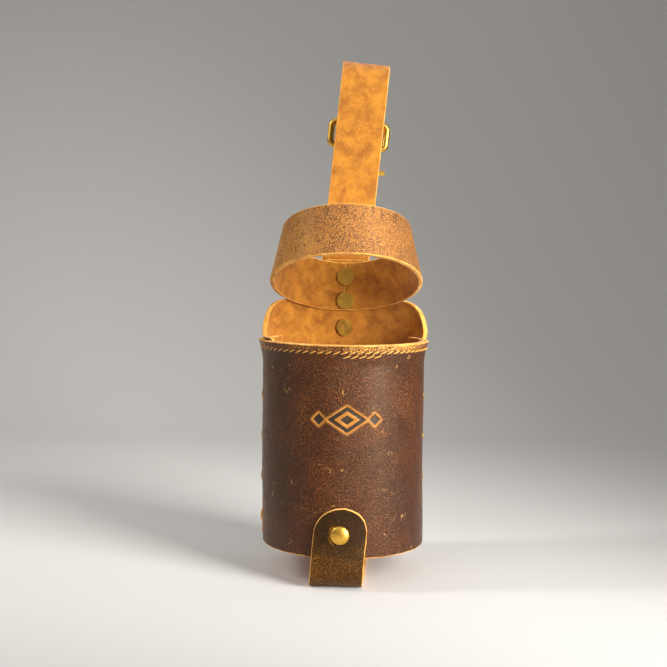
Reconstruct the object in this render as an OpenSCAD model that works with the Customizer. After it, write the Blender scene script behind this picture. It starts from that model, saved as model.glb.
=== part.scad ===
// Leather carrier for a round bottle. It is made of a sleeve of two panels riveted
// at the sides, a strap under the base, a band for the shoulder and a hanger strap
// that ends in a brass swivel hook. The front faces -Y and the floor is z = 0.

/* [Leather] */
// Thickness of the panels and straps
leather_t = 2.4; // [2:0.1:3]
// Thickness of the strip inside the rim
lining_t = 1.6; // [1:0.1:2.2]
// Width of every strap
strap_w = 25.4; // [22:0.1:28]

/* [Sleeve] */
// Height of the sleeve
sleeve_h = 101.6; // [90:0.1:125]
// Height of the sleeve's lower edge above the floor
sleeve_z = 15; // [13:0.5:20]
// Outer radius of the front panel
sleeve_r = 40.4; // [38:0.1:46]
// How far round from the front the front panel reaches, in degrees
front_reach_angle = 121.5; // [120:0.5:126]
// How far the rim leans out at its edge
rim_flare = 2.2; // [0.5:0.1:3.5]
// Height of the rim that leans out
rim_h = 10; // [9:0.5:14]
// How far round from the front the rim leans out in full, in degrees
rim_reach_angle = 86; // [70:1:86]

/* [Back panel] */
// How far round from the front the back panel's edges lie, in degrees
seam_angle = 106; // [103:0.5:107]
// How far the back panel is turned on the sleeve, in degrees
seam_turn_angle = 2.5; // [0:0.5:2.5]
// Height of the shoulders of the back panel above the rim
shoulder_rise = 18.4; // [16:0.1:20]
// Radius of the rounded shoulders
shoulder_r = 20; // [14:0.5:21]
// Height of the tab above the shoulders
tab_rise = 21; // [20:0.5:24]
// Radius of the tab's corners
tab_corner_r = 4; // [2:0.5:8]

/* [Neck band] */
// Height of the band's middle line at the back, above the shoulders
band_back_rise = 6.7; // [6:0.1:8]
// How much higher the band's middle line lies at the front
band_climb = 29.2; // [25:0.1:34]
// How much the band's middle line is drawn up at the sides
band_side_lift = 2; // [0:0.5:4]
// Radius of the band's middle line at the front
band_front_r = 32.2; // [31:0.1:36]
// How far the band leans in at the front, in degrees
band_lean_angle = 21; // [10:1:22]

/* [Base strap] */
// Height of the base strap's ends
strap_end_z = 39.7; // [36:0.1:50]
// Radius of the bend under the sleeve, at the middle of the leather
strap_bend_r = 10; // [7:0.5:11]
// How far the base strap is turned under the sleeve, in degrees
strap_turn_angle = -2.5; // [-4:0.5:4]

/* [Hanger strap] */
// Length of the hanger strap's straight rise
hanger_rise = 93; // [75:1:100]
// Radius of the bend at its top, at the middle of the leather
hanger_bend_r = 12; // [11:0.5:14]
// Drop from the top bend to the hook's bar
hanger_drop = 18; // [17:0.5:24]
// Length of the folded end, above the hook's bar
hanger_tail = 17.5; // [17:0.5:17.8]
// How far the hanger strap leans back, in degrees
hanger_back_angle = 4; // [0:0.5:8]
// How far the hanger strap leans to the right, in degrees
hanger_side_angle = 5.5; // [0:0.5:7]
// Distance from the lowest rear rivet to the end of the strap's root
root_end = 6.5; // [5.5:0.5:12]

/* [Rivets] */
// Radius of a rivet's cap
cap_r = 4.5; // [3.5:0.1:4.8]
// Height of a rivet's cap
cap_h = 2; // [1.6:0.1:2.6]
// Thickness of the foot inside
foot_h = 0.9; // [0.6:0.1:1.2]
// Radius of a rivet's post
post_r = 1.5; // [1.2:0.1:1.8]
// Rivets in each side seam
side_rivets = 5; // [3:1:6]
// Distance from the sleeve's ends to the first and last side rivet
side_rivet_margin = 9; // [7:0.5:14]
// Distance from a side rivet to the back panel's edge
seam_margin = 5.6; // [5.2:0.1:6]

/* [Stitching] */
// Distance from the rim's edge down to the stitches
stitch_drop = 3.6; // [3:0.1:5]
// Length of one stitch
stitch_len = 3.3; // [2.4:0.1:3.6]
// Distance from one stitch to the next
stitch_pitch = 3.9; // [3.8:0.1:5]
// Thickness of the thread
thread_d = 0.8; // [0.5:0.05:1]
// Slant of each stitch, in degrees
stitch_slant_angle = 14; // [0:1:20]

/* [Snap hook] */
// Radius of the rod that the eye is bent from
eye_rod_r = 1.8; // [1.5:0.1:2]
// Height of the eye from rod to rod
eye_h = 12.6; // [12:0.1:15]
// Radius of the boss that carries the swivel
eye_boss_r = 4.5; // [4:0.1:5]
// Height of that boss
eye_boss_h = 6; // [5:0.1:7]
// Radius of the swivel stem
stem_r = 2; // [1.6:0.1:2.4]
// Radius of the hook's rod
hook_rod_r = 2.5; // [2:0.1:2.6]
// Radius of the hook's bends, at the middle of the rod
hook_bend_r = 9.5; // [9:0.1:11]
// Straight length between the hook's two bends
hook_straight = 8.5; // [8:0.5:11]
// How far the hook is turned on its swivel, in degrees
hook_turn_angle = 180; // [0:15:180]
// Radius of the gate's pin
gate_pin_r = 0.9; // [0.7:0.05:1]
// Thickness of the gate
gate_t = 2.4; // [2:0.1:2.8]

/* [Hidden] */
$fn = 96;

// Colours of the leathers, the brass and the thread
panel_colour = "#5A3322";
band_colour = "#A86A2C";
strap_colour = "#6B4723";
flesh_colour = "#9A5E1E";
brass_colour = "#C9A35A";
thread_colour = "#DDA843";

// Gaps: between layers that lie on each other, between pieces that move,
// round a shaft that turns, and the overrun of every cut
layer_gap = 0.1;
move_gap = 0.3;
run_gap = 0.06;
hole_gap = 0.1;
cut = 1;

// The sleeve's layers, from the inside out
panel_in_r = sleeve_r - leather_t;
lining_r = panel_in_r - layer_gap;
back_in_r = sleeve_r + layer_gap;
back_out_r = back_in_r + leather_t;
sleeve_top = sleeve_z + sleeve_h;
rim_z = sleeve_top - rim_h;
rim_tilt_angle = atan(rim_flare / rim_h);
wall_steps = 60;
rim_ramp_angle = 11;

// The back panel's outline
shoulder_z = sleeve_top + shoulder_rise;
tab_top = shoulder_z + tab_rise;
tab_w = strap_w;
seam_left_angle = -(seam_angle - seam_turn_angle);
seam_right_angle = seam_angle + seam_turn_angle;
rivet_step_angle = asin(seam_margin / back_out_r);
shoulder_end_angle = 94;
shoulder_steps = 12;

// The stamp on the front panel: its middle, depth and the sizes of its lozenges
stamp_x = 1.6;
stamp_rise = 66.4;
stamp_z = sleeve_z + stamp_rise;
stamp_depth = 0.35;
stamp_w = 19;
stamp_h = 13;
stamp_ring_share = 0.6;
stamp_core_share = 0.38;
stamp_side_w = 6;
stamp_side_gap = 0.7;
stamp_side_x = (stamp_w + stamp_side_w) / 2 + stamp_side_gap;

// The band's height, section, the split beside its root and its two rivets
band_back_z = shoulder_z + band_back_rise;
band_front_z = band_back_z + band_climb;
band_back_r = back_in_r - move_gap - leather_t / 2;
band_steps = 96;
band_spread_power = 2;
band_lean_power = 1.4;
band_split_margin = 1.3;
band_split_x = strap_w / 2 + band_split_margin;
band_rivet_rise = 5.3;
band_rivet_fall = 7.5;
band_rivet_low_z = band_back_z - band_rivet_fall;
band_rivet_high_z = band_back_z + band_rivet_rise;

// The base strap's legs, at the middle of the leather
strap_front_y = sleeve_r + layer_gap + leather_t / 2;
strap_back_y = back_out_r + layer_gap + leather_t / 2;
strap_flat_rise = 6;
strap_flat_z = sleeve_z + strap_flat_rise;
strap_columns = 8;
strap_steps = 8;
strap_tip_angle = 6;
strap_rivet_z = strap_end_z - strap_w / 2;

// The hanger strap's root, hinge line and folded end
root_in_r = back_out_r + layer_gap;
root_out_r = root_in_r + leather_t;
root_top = tab_top + move_gap;
root_rivet_gap = 4.7;
root_rivet_z = band_back_z - strap_w / 2 - root_rivet_gap - cap_r;
root_bottom = root_rivet_z - root_end;
hinge_set_in = 0.6;
hinge_tip_angle = 15;
hinge_y = root_out_r - leather_t / 2 - hinge_set_in;
hinge_z = root_top + leather_t / 2 + move_gap;
fold_gap = 0.15;
fold_r = eye_rod_r + fold_gap + leather_t / 2;
bar_y = 2 * hanger_bend_r - fold_r;
bar_z = hanger_rise - hanger_drop;
tail_y = 2 * hanger_bend_r - leather_t - layer_gap;
tail_close = 8;
loop_rivet_margin = 4.7;
loop_rivet_z = bar_z + hanger_tail - loop_rivet_margin;

// The hook's bar in the part's own frame
bar_back_y = bar_y * cos(hanger_back_angle) + bar_z * sin(hanger_back_angle);
bar_up_z = bar_z * cos(hanger_back_angle) - bar_y * sin(hanger_back_angle);
bar_centre = [bar_up_z * sin(hanger_side_angle), hinge_y + bar_back_y,
              hinge_z + bar_up_z * cos(hanger_side_angle)];

// The eye, with its corners bent outside the strap
eye_corner_r = 2.6;
eye_half_w = strap_w / 2 + eye_corner_r;
eye_boss_z = -eye_h;

// The swivel, measured down from the eye's bar
swivel_gap = 0.2;
stem_head_r = 3.4;
stem_head_h = 1.6;
collar_r = 4.2;
collar_h = 3.4;
boss_top_z = eye_boss_z + eye_boss_h / 2;
boss_bottom_z = eye_boss_z - eye_boss_h / 2;
collar_top_z = boss_bottom_z - swivel_gap;
collar_bottom_z = collar_top_z - collar_h;

// The hook's bends and the gate's pivot
upper_bend_z = collar_bottom_z - hook_bend_r + hook_rod_r / 2;
lower_bend_z = upper_bend_z - hook_straight;
lug_angle = 140;
pivot_x = hook_bend_r * cos(lug_angle);
pivot_z = upper_bend_z + hook_bend_r * sin(lug_angle);
cheek_t = 1;
fork_gap = 4.4;
fork_w = fork_gap + 2 * cheek_t;
lug_r = 3.1;
knuckle_r = 2.3;
knuckle_y = -(fork_gap - gate_t) / 2 + swivel_gap / 2;
gate_bar_w = 2.1;
gate_end_drop = 1.5;
gate_end_z = lower_bend_z - gate_end_drop;
gate_face_x = -(hook_bend_r - hook_rod_r - move_gap);
gate_flank_angle = 60;
thumb_reach = 9.6;
thumb_drop = 4.3;
thumb_z = pivot_z - thumb_drop;
thumb_h = 2.6;
spring_t = 1.3;
spring_wire = 0.8;

// A point at an azimuth from the front, a radius and a height
function around(az, r, z) = [r * sin(az), -r * cos(az), z];

// A value that eases from 0 to 1 as t goes from 0 to 1
function ease(t) = let (u = max(0, min(1, t))) u * u * (3 - 2 * u);

// Points along an arc in the plane
function arc_points(centre, r, from, to, steps) =
    [for (i = [0:steps]) let (a = from + (to - from) * i / steps) centre + r * [cos(a), sin(a)]];

// The unit normal to the left of a path at point i
function path_normal(path, i) =
    let (a = path[max(0, i - 1)], b = path[min(len(path) - 1, i + 1)], d = b - a)
    [-d[1], d[0]] / norm(d);

// The outline of a strip of thickness t along a path
function strip_outline(path, t) = concat(
    [for (i = [0:len(path) - 1]) path[i] + path_normal(path, i) * t / 2],
    [for (i = [len(path) - 1:-1:0]) path[i] - path_normal(path, i) * t / 2]);

// Two triangles over four points that run clockwise as seen from outside
function quad(a, b, c, d) = [[a, b, c], [a, c, d]];

// A bent sheet between two grids of points, closed at its borders, or joined
// end to end as a ring
module sheet(outer, inner, ring = false) {
    rows = len(outer);
    columns = len(outer[0]);
    under = rows * columns;
    right = columns - 1;
    last = ring ? rows - 1 : rows - 2;
    points = [for (grid = [outer, inner], row = grid, p = row) p];
    faces = [
        for (i = [0:last], j = [0:columns - 2])
            let (a = i * columns + j, b = ((i + 1) % rows) * columns + j)
            each concat(quad(a, b, b + 1, a + 1),
                        quad(under + a, under + a + 1, under + b + 1, under + b)),
        for (i = [0:last])
            let (a = i * columns, b = ((i + 1) % rows) * columns)
            each concat(quad(a, under + a, under + b, b),
                        quad(a + right, b + right, under + b + right, under + a + right)),
        if (!ring) for (j = [0:columns - 2])
            let (a = j, b = (rows - 1) * columns + j)
            each concat(quad(a, a + 1, under + a + 1, under + a),
                        quad(b, under + b, under + b + 1, b + 1))];
    polyhedron(points, faces);
}

// A curved wall between two azimuths, which may lean out towards its top
module wall(r_out, t, z0, z1, lean, az0, az1) {
    rotate([0, 0, az0 - 90]) rotate_extrude(angle = az1 - az0)
        polygon([[r_out - t, z0], [r_out, z0], [r_out + lean, z1], [r_out + lean - t, z1]]);
}

// Carries what is drawn along +Z to a radius, pointing outwards
module outwards(az, r, z) {
    translate(around(az, r, z)) rotate([0, 0, az]) rotate([90, 0, 0]) children();
}

// A rivet's domed cap, with a socket for the post
module rivet_cap() {
    dome_r = (cap_r * cap_r + cap_h * cap_h) / (2 * cap_h);
    difference() {
        intersection() {
            translate([0, 0, cap_h - dome_r]) sphere(dome_r);
            cylinder(r = cap_r, h = cap_h);
        }
        translate([0, 0, -cut]) cylinder(r = post_r + hole_gap / 2, h = cut + cap_h / 2);
    }
}

// A rivet's foot and post, which reaches up through a stack of leather
module rivet_post(stack) {
    translate([0, 0, -foot_h]) cylinder(r = cap_r, h = foot_h);
    cylinder(r = post_r, h = stack + cap_h / 2 - hole_gap / 2);
}

// A hole for a rivet's post, along +Z both ways
module rivet_hole(depth) {
    translate([0, 0, -depth]) cylinder(r = post_r + hole_gap, h = 2 * depth);
}

// Where a flat foot rests inside a curved wall
function foot_seat(r) = sqrt(r * r - cap_r * cap_r) - layer_gap / 2;

// The places of the side rivets: azimuth and height
side_step = (sleeve_h - 2 * side_rivet_margin) / (side_rivets - 1);
side_places = [for (az = [seam_left_angle - rivet_step_angle, seam_right_angle + rivet_step_angle],
                    i = [0:side_rivets - 1])
                   [az, sleeve_z + side_rivet_margin + i * side_step]];

module at_side_rivets(r) {
    for (place = side_places) outwards(place[0], r, place[1]) children();
}

// A lozenge of the stamp, upright in the plane
module lozenge(x, w, h) {
    translate([x, 0]) polygon([[-w / 2, 0], [0, -h / 2], [w / 2, 0], [0, h / 2]]);
}

module stamp_outline() {
    difference() {
        lozenge(0, stamp_w, stamp_h);
        difference() {
            lozenge(0, stamp_w * stamp_ring_share, stamp_h * stamp_ring_share);
            lozenge(0, stamp_w * stamp_core_share, stamp_h * stamp_core_share);
        }
    }
    for (x = [-stamp_side_x, stamp_side_x]) lozenge(x, stamp_side_w, stamp_side_w);
}

module stamp() {
    intersection() {
        wall(sleeve_r + cut, stamp_depth + cut, sleeve_z, rim_z, 0, -rim_reach_angle, rim_reach_angle);
        translate([stamp_x, 0, stamp_z]) rotate([90, 0, 0])
            linear_extrude(height = sleeve_r + 2 * cut) stamp_outline();
    }
}

// The front panel's wall, whose rim leans out in front and stands straight where
// the back panel covers it
module front_wall() {
    angles = [for (i = [0:wall_steps]) front_reach_angle * (2 * i / wall_steps - 1)];
    ramp_end = rim_reach_angle + rim_ramp_angle;
    leans = [for (az = angles) rim_flare * ease((ramp_end - abs(az)) / rim_ramp_angle)];
    side = [for (r = [sleeve_r, panel_in_r])
        [for (i = [0:wall_steps])
            [around(angles[i], r + leans[i], sleeve_top), around(angles[i], r, rim_z),
             around(angles[i], r, sleeve_z)]]];
    sheet(side[0], side[1]);
}

// Front panel: the outer face of the sleeve, with the rim leaning out
module front_panel() color(panel_colour) {
    difference() {
        front_wall();
        at_side_rivets(sleeve_r) rivet_hole(2 * leather_t);
        outwards(strap_turn_angle, sleeve_r, strap_rivet_z) rivet_hole(2 * leather_t);
        stamp();
    }
}

// Strip that lines the inside of the rim
module rim_lining() color(flesh_colour) {
    wall(lining_r, lining_t, rim_z, sleeve_top, rim_flare, -rim_reach_angle, rim_reach_angle);
}

// One stitch lying on the leaning rim, on its outside or its inside
module stitch(az, out, drop) {
    share = 1 - drop / rim_h;
    face_r = out ? sleeve_r : lining_r - lining_t;
    side = out ? 1 : -1;
    lift = side * (thread_d / 2 + layer_gap / 2);
    rotate([0, 0, az]) translate([0, -(face_r + rim_flare * share), sleeve_top - drop])
        rotate([rim_tilt_angle, 0, 0]) translate([0, -lift, 0]) rotate([0, stitch_slant_angle, 0])
            cube([stitch_len, thread_d, thread_d], center = true);
}

// Stitches along the rim, with the seam's end sewn over twice at the front
module rim_stitches() color(thread_colour) {
    step = stitch_pitch / (sleeve_r * PI / 180);
    count = floor((rim_reach_angle - step) / step);
    second_row_drop = thread_d * 2 - layer_gap * 2;
    for (i = [-count:count], out = [true, false]) stitch(i * step, out, stitch_drop);
    for (i = [0:3]) stitch((i + 1 / 2) * step, true, stitch_drop + second_row_drop);
}

// The solid cut away over a shoulder of the back panel
module shoulder_cut(az, side) {
    centre_az = az + side * asin((shoulder_r - layer_gap) / back_out_r);
    curve = arc_points([0, 0], shoulder_r, 180, shoulder_end_angle, shoulder_steps);
    last = curve[shoulder_steps];
    outwards(centre_az, 0, shoulder_z - shoulder_r) mirror([side > 0 ? 0 : 1, 0])
        linear_extrude(height = back_out_r + 2 * cut)
            polygon(concat(curve, [[last[0], shoulder_r + cut], [-2 * shoulder_r, shoulder_r + cut],
                                   [-2 * shoulder_r, 0]]));
}

// The tab's outline, with two rounded corners, upright in the plane
module tab_outline(w, z0, z1, r) {
    translate([-w / 2, z0]) square([w, z1 - z0 - r]);
    translate([-w / 2 + r, z0]) square([w - 2 * r, z1 - z0]);
    for (side = [-1, 1]) translate([side * (w / 2 - r), z1 - r]) circle(r);
}

// Back panel: riveted over the sleeve's sides, with shoulders and a tab behind
module back_panel() color(panel_colour) {
    difference() {
        intersection() {
            wall(back_out_r, leather_t, sleeve_z, tab_top + cut, 0, seam_right_angle, 360 + seam_left_angle);
            rotate([90, 0, 180]) linear_extrude(height = back_out_r + cut) {
                translate([-2 * sleeve_r, 0]) square([4 * sleeve_r, shoulder_z]);
                tab_outline(tab_w, shoulder_z - cut, tab_top, tab_corner_r);
            }
        }
        shoulder_cut(seam_right_angle, 1);
        shoulder_cut(360 + seam_left_angle, -1);
        at_side_rivets(back_out_r) rivet_hole(2 * leather_t);
        outwards(180 + strap_turn_angle, back_out_r, strap_rivet_z) rivet_hole(2 * leather_t);
        for (z = [root_rivet_z, band_rivet_low_z, band_rivet_high_z])
            outwards(180, back_out_r, z) rivet_hole(2 * leather_t);
    }
}

// The band's middle line, its lean and its edges at an azimuth
function band_share(az) = pow((1 - cos(az)) / 2, band_spread_power);
function band_r(az) = band_front_r + (band_back_r - band_front_r) * band_share(az);
function band_z(az) = (band_front_z + band_back_z) / 2 + band_side_lift
    + (band_front_z - band_back_z) / 2 * cos(az) - band_side_lift * (1 + cos(2 * az)) / 2;
function band_middle(az) = around(az, band_r(az), band_z(az));
function band_lean(az) = band_lean_angle * pow(max(0, cos(az / 2)), band_lean_power);

// A corner of the band's section: s along its width and t through its thickness
function band_point(az, s, t) =
    let (lean = band_lean(abs(az)),
         outward = [sin(az) * cos(lean), -cos(az) * cos(lean), sin(lean)],
         run = band_middle(az + 1) - band_middle(az - 1),
         along = run / norm(run),
         up = cross(outward, along),
         across = up / norm(up),
         face = cross(along, across))
    band_middle(az) + across * s + face * t;

// The whole loop of the band, before it is parted from its riveted root
module band_loop() {
    angles = [for (i = [0:band_steps - 1]) -180 + i * 360 / band_steps];
    half_w = strap_w / 2;
    half_t = leather_t / 2;
    sheet([for (az = angles) [band_point(az, half_w, half_t), band_point(az, -half_w, half_t)]],
          [for (az = angles) [band_point(az, half_w, -half_t), band_point(az, -half_w, -half_t)]],
          ring = true);
}

module root_space(half_x) {
    depth = 2 * back_out_r;
    translate([-half_x, 0, band_back_z - strap_w]) cube([2 * half_x, depth, 2 * strap_w]);
}

// Neck band: the free loop that lies on the bottle's shoulder
module neck_band() color(band_colour) {
    difference() {
        band_loop();
        root_space(band_split_x + move_gap / 2);
    }
}

// Root of the neck band, riveted inside the tab
module band_root() color(band_colour) {
    difference() {
        intersection() {
            band_loop();
            root_space(band_split_x - move_gap / 2);
        }
        for (z = [band_rivet_low_z, band_rivet_high_z])
            outwards(180, band_back_r, z) rivet_hole(2 * leather_t);
    }
}

// One leg of the base strap, from its round end down to the floor, with y outwards
module strap_leg(leg_y, hole_z) {
    half_w = strap_w / 2;
    floor_z = leather_t / 2;
    bend = [leg_y - strap_bend_r, floor_z + strap_bend_r];
    straight_top = strap_end_z - half_w;
    round_end = [for (i = [0:strap_steps])
                    let (a = strap_tip_angle + (90 - strap_tip_angle) * i / strap_steps)
                    [leg_y, straight_top + half_w * cos(a), half_w * sin(a)]];
    straight = [for (i = [1:strap_steps])
                   [leg_y, straight_top + (bend[1] - straight_top) * i / strap_steps, half_w]];
    turn = [for (i = [1:strap_steps]) let (a = -90 * i / strap_steps)
               [bend[0] + strap_bend_r * cos(a), bend[1] + strap_bend_r * sin(a), half_w]];
    rows = concat(round_end, straight, turn);
    path = [for (row = rows) [row[0], row[1]]];
    normals = [for (i = [0:len(path) - 1])
                  let (a = -90 * max(0, i - 2 * strap_steps) / strap_steps) [cos(a), sin(a)]];
    side = [for (offset = [1, -1])
        [for (i = [0:len(rows) - 1])
            [for (j = [0:strap_columns])
                let (w = rows[i][2] * (2 * j / strap_columns - 1),
                     follow = ease((rows[i][1] - floor_z) / (strap_flat_z - floor_z)),
                     sag = follow * (leg_y - sqrt(leg_y * leg_y - w * w)),
                     p = path[i] + normals[i] * (offset * leather_t / 2 - sag))
                [w, p[0], p[1]]]]];
    difference() {
        sheet(side[0], side[1]);
        translate([0, leg_y, hole_z]) rotate([90, 0, 0]) rivet_hole(2 * leather_t);
    }
}

// Base strap: riveted at the front, run under the base and riveted at the back
module base_strap() color(strap_colour) rotate([0, 0, strap_turn_angle]) {
    front_end = strap_front_y - strap_bend_r;
    back_end = strap_back_y - strap_bend_r;
    strap_leg(strap_back_y, strap_rivet_z);
    mirror([0, 1, 0]) strap_leg(strap_front_y, strap_rivet_z);
    translate([-strap_w / 2, -front_end, 0]) cube([strap_w, front_end + back_end, leather_t]);
}

// Carries children to the hanger strap's frame, with its hinge line along X
module at_hanger() {
    translate([0, hinge_y, hinge_z]) rotate([-hanger_back_angle, hanger_side_angle, 0]) children();
}

// Carries children to the hook's bar, hanging straight down from it
module at_eye() {
    translate(bar_centre) rotate([0, hanger_side_angle, 0]) children();
}

// Carries children to the hook's frame, turned on its swivel
module at_hook() {
    at_eye() rotate([0, 0, hook_turn_angle]) children();
}

// Root of the hanger strap, riveted on the back panel and its tab
module hanger_root() color(strap_colour) {
    difference() {
        intersection() {
            wall(root_out_r, leather_t, root_bottom, root_top + leather_t, 0, 90, 270);
            rotate([90, 0, 180]) linear_extrude(height = root_out_r + cut)
                mirror([0, 1]) tab_outline(strap_w, -root_top - leather_t, -root_bottom, tab_corner_r);
        }
        translate([0, hinge_y, hinge_z]) rotate([0, hanger_side_angle, 0]) {
            rotate([0, 90, 0]) cylinder(r = leather_t / 2 + move_gap, h = 2 * strap_w, center = true);
            translate([-strap_w, -strap_w, -leather_t / 2 - move_gap])
                cube([2 * strap_w, 2 * strap_w, strap_w]);
        }
        for (z = [root_rivet_z, band_rivet_low_z, band_rivet_high_z])
            outwards(180, root_out_r, z) rivet_hole(2 * leather_t);
    }
}

// The hanger strap's middle line: up, over the top, down, round the bar and back up
hanger_path = concat(
    [[0, 0], [0, hanger_rise / 2]],
    arc_points([hanger_bend_r, hanger_rise], hanger_bend_r, 180, 0, 24),
    arc_points([bar_y, bar_z], fold_r, 0, -180, 16),
    [for (i = [1:8]) let (t = i / 8)
        [bar_y - fold_r + (tail_y - bar_y + fold_r) * ease(t), bar_z + tail_close * t]],
    [[tail_y, bar_z + hanger_tail]]);

// Hanger strap: the free length behind the neck, folded round the hook's bar
module hanger_strap() color(strap_colour) at_hanger() {
    round_end = arc_points([0, 0], leather_t / 2, -hinge_tip_angle, hinge_tip_angle - 180, 10);
    difference() {
        rotate([90, 0, 90]) linear_extrude(height = strap_w, center = true)
            polygon(concat(strip_outline(hanger_path, leather_t), round_end));
        translate([0, 2 * hanger_bend_r, loop_rivet_z]) rotate([90, 0, 0]) rivet_hole(3 * leather_t);
    }
}

// Caps and posts of the two rivets that hold the base strap
module strap_rivet_caps() color(brass_colour) rotate([0, 0, strap_turn_angle]) {
    outwards(0, strap_front_y + leather_t / 2 + layer_gap / 2, strap_rivet_z) rivet_cap();
    outwards(180, strap_back_y + leather_t / 2 + layer_gap / 2, strap_rivet_z) rivet_cap();
}

module strap_rivet_posts() color(brass_colour) rotate([0, 0, strap_turn_angle]) {
    front_seat = foot_seat(panel_in_r);
    back_seat = foot_seat(back_in_r);
    outwards(0, front_seat, strap_rivet_z) rivet_post(strap_front_y + leather_t / 2 - front_seat);
    outwards(180, back_seat, strap_rivet_z) rivet_post(strap_back_y + leather_t / 2 - back_seat);
}

// Caps and posts of the rivets down the two side seams
module side_rivet_caps() color(brass_colour) {
    at_side_rivets(back_out_r + layer_gap / 2) rivet_cap();
}

module side_rivet_posts() color(brass_colour) {
    seat = foot_seat(panel_in_r);
    at_side_rivets(seat) rivet_post(back_out_r - seat);
}

// Caps and posts of the three rivets that hold the hanger's root and the band's root
module rear_rivet_caps() color(brass_colour) {
    for (z = [root_rivet_z, band_rivet_low_z, band_rivet_high_z])
        outwards(180, root_out_r + layer_gap / 2, z) rivet_cap();
}

module rear_rivet_posts() color(brass_colour) {
    panel_seat = foot_seat(back_in_r);
    band_seat = foot_seat(band_back_r - leather_t / 2) - layer_gap;
    outwards(180, panel_seat, root_rivet_z) rivet_post(root_out_r - panel_seat);
    for (z = [band_rivet_low_z, band_rivet_high_z])
        outwards(180, band_seat, z) rivet_post(root_out_r - band_seat);
}

// Cap and post of the rivet that closes the fold round the hook's bar
module loop_rivet_cap() color(brass_colour) at_hanger() {
    face = 2 * hanger_bend_r + leather_t / 2 + layer_gap / 2;
    translate([0, face, loop_rivet_z]) rotate([-90, 0, 0]) rivet_cap();
}

module loop_rivet_post() color(brass_colour) at_hanger() {
    seat = tail_y - leather_t / 2 - layer_gap / 2;
    translate([0, seat, loop_rivet_z]) rotate([-90, 0, 0])
        rivet_post(2 * hanger_bend_r + leather_t / 2 - seat);
}

// A bent rod in the XZ plane, from one angle to another
module rod_bend(bend_r, rod_r, from, to) {
    rotate([90, 0, 0]) rotate([0, 0, from]) rotate_extrude(angle = to - from)
        translate([bend_r, 0]) circle(rod_r, $fn = 48);
}

// Eye: the bent rod that hangs in the strap's fold, with the swivel's boss
module hook_eye() color(brass_colour) at_eye() {
    straight_h = eye_h - 2 * eye_corner_r;
    difference() {
        union() {
            for (z = [0, -eye_h]) translate([0, 0, z]) rotate([0, 90, 0])
                cylinder(r = eye_rod_r, h = strap_w, center = true);
            for (side = [0, 1]) mirror([side, 0, 0]) {
                translate([strap_w / 2, 0, -eye_corner_r]) rod_bend(eye_corner_r, eye_rod_r, 0, 90);
                translate([strap_w / 2, 0, eye_corner_r - eye_h]) rod_bend(eye_corner_r, eye_rod_r, -90, 0);
                translate([eye_half_w, 0, eye_corner_r - eye_h]) cylinder(r = eye_rod_r, h = straight_h);
            }
            translate([0, 0, boss_bottom_z]) cylinder(r = eye_boss_r, h = eye_boss_h);
        }
        translate([0, 0, boss_bottom_z - cut]) cylinder(r = stem_r + run_gap, h = eye_boss_h + 2 * cut);
    }
}

// Hook: stem, collar, two bends and the forked lug for the gate
module hook_body() color(brass_colour) at_hook() {
    difference() {
        union() {
            translate([0, 0, collar_bottom_z])
                cylinder(r = stem_r, h = boss_top_z - collar_bottom_z + swivel_gap * 2);
            translate([0, 0, boss_top_z + swivel_gap]) cylinder(r = stem_head_r, h = stem_head_h);
            translate([0, 0, collar_bottom_z]) cylinder(r = collar_r, h = collar_h);
            translate([0, 0, upper_bend_z]) rod_bend(hook_bend_r, hook_rod_r, 0, lug_angle);
            translate([hook_bend_r, 0, lower_bend_z]) cylinder(r = hook_rod_r, h = hook_straight);
            translate([0, 0, lower_bend_z]) rod_bend(hook_bend_r, hook_rod_r, -180, 0);
            translate([-hook_bend_r, 0, lower_bend_z]) sphere(hook_rod_r);
            translate([pivot_x, 0, pivot_z]) rotate([90, 0, 0])
                cylinder(r = lug_r, h = fork_w, center = true);
        }
        translate([pivot_x, 0, pivot_z]) {
            rotate([90, 0, 0]) cylinder(r = lug_r + move_gap, h = fork_gap, center = true);
            rotate([90, 0, 0]) cylinder(r = gate_pin_r, h = fork_w + 2 * cut, center = true);
        }
    }
}

// Gate: the sprung lever that closes the hook, with its thumb tab
module hook_gate() color(brass_colour) at_hook() {
    bar_x = gate_face_x + gate_bar_w / 2;
    flank = knuckle_r * [cos(gate_flank_angle), sin(gate_flank_angle)];
    translate([0, knuckle_y, 0]) rotate([90, 0, 0]) linear_extrude(height = gate_t, center = true)
        difference() {
            union() {
                translate([pivot_x, pivot_z]) circle(knuckle_r);
                polygon([[pivot_x - flank[0], pivot_z - flank[1]],
                         [gate_face_x, thumb_z - thumb_h], [gate_face_x, gate_end_z + gate_bar_w / 2],
                         [gate_face_x + gate_bar_w, gate_end_z + gate_bar_w / 2],
                         [gate_face_x + gate_bar_w, thumb_z - thumb_h / 2], [pivot_x + knuckle_r, pivot_z]]);
                translate([bar_x, gate_end_z + gate_bar_w / 2]) circle(gate_bar_w / 2);
                translate([pivot_x - thumb_reach + thumb_h / 2, thumb_z - thumb_h / 2])
                    square([thumb_reach, thumb_h]);
                translate([pivot_x - thumb_reach + thumb_h / 2, thumb_z]) circle(thumb_h / 2);
            }
            translate([pivot_x, pivot_z]) circle(gate_pin_r + run_gap);
        }
}

// Pin that the gate turns on
module gate_pin() color(brass_colour) at_hook() {
    translate([pivot_x, 0, pivot_z]) rotate([90, 0, 0]) cylinder(r = gate_pin_r, h = fork_w, center = true);
}

// Coil of the gate's spring, beside the gate on its pin
module gate_spring() color("silver") at_hook() {
    middle_y = (knuckle_y + gate_t / 2 + fork_gap / 2) / 2;
    translate([pivot_x, middle_y, pivot_z]) rotate([90, 0, 0]) difference() {
        cylinder(r = gate_pin_r + hole_gap + spring_wire, h = spring_t, center = true);
        cylinder(r = gate_pin_r + hole_gap, h = spring_t + 2 * cut, center = true);
    }
}

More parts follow.
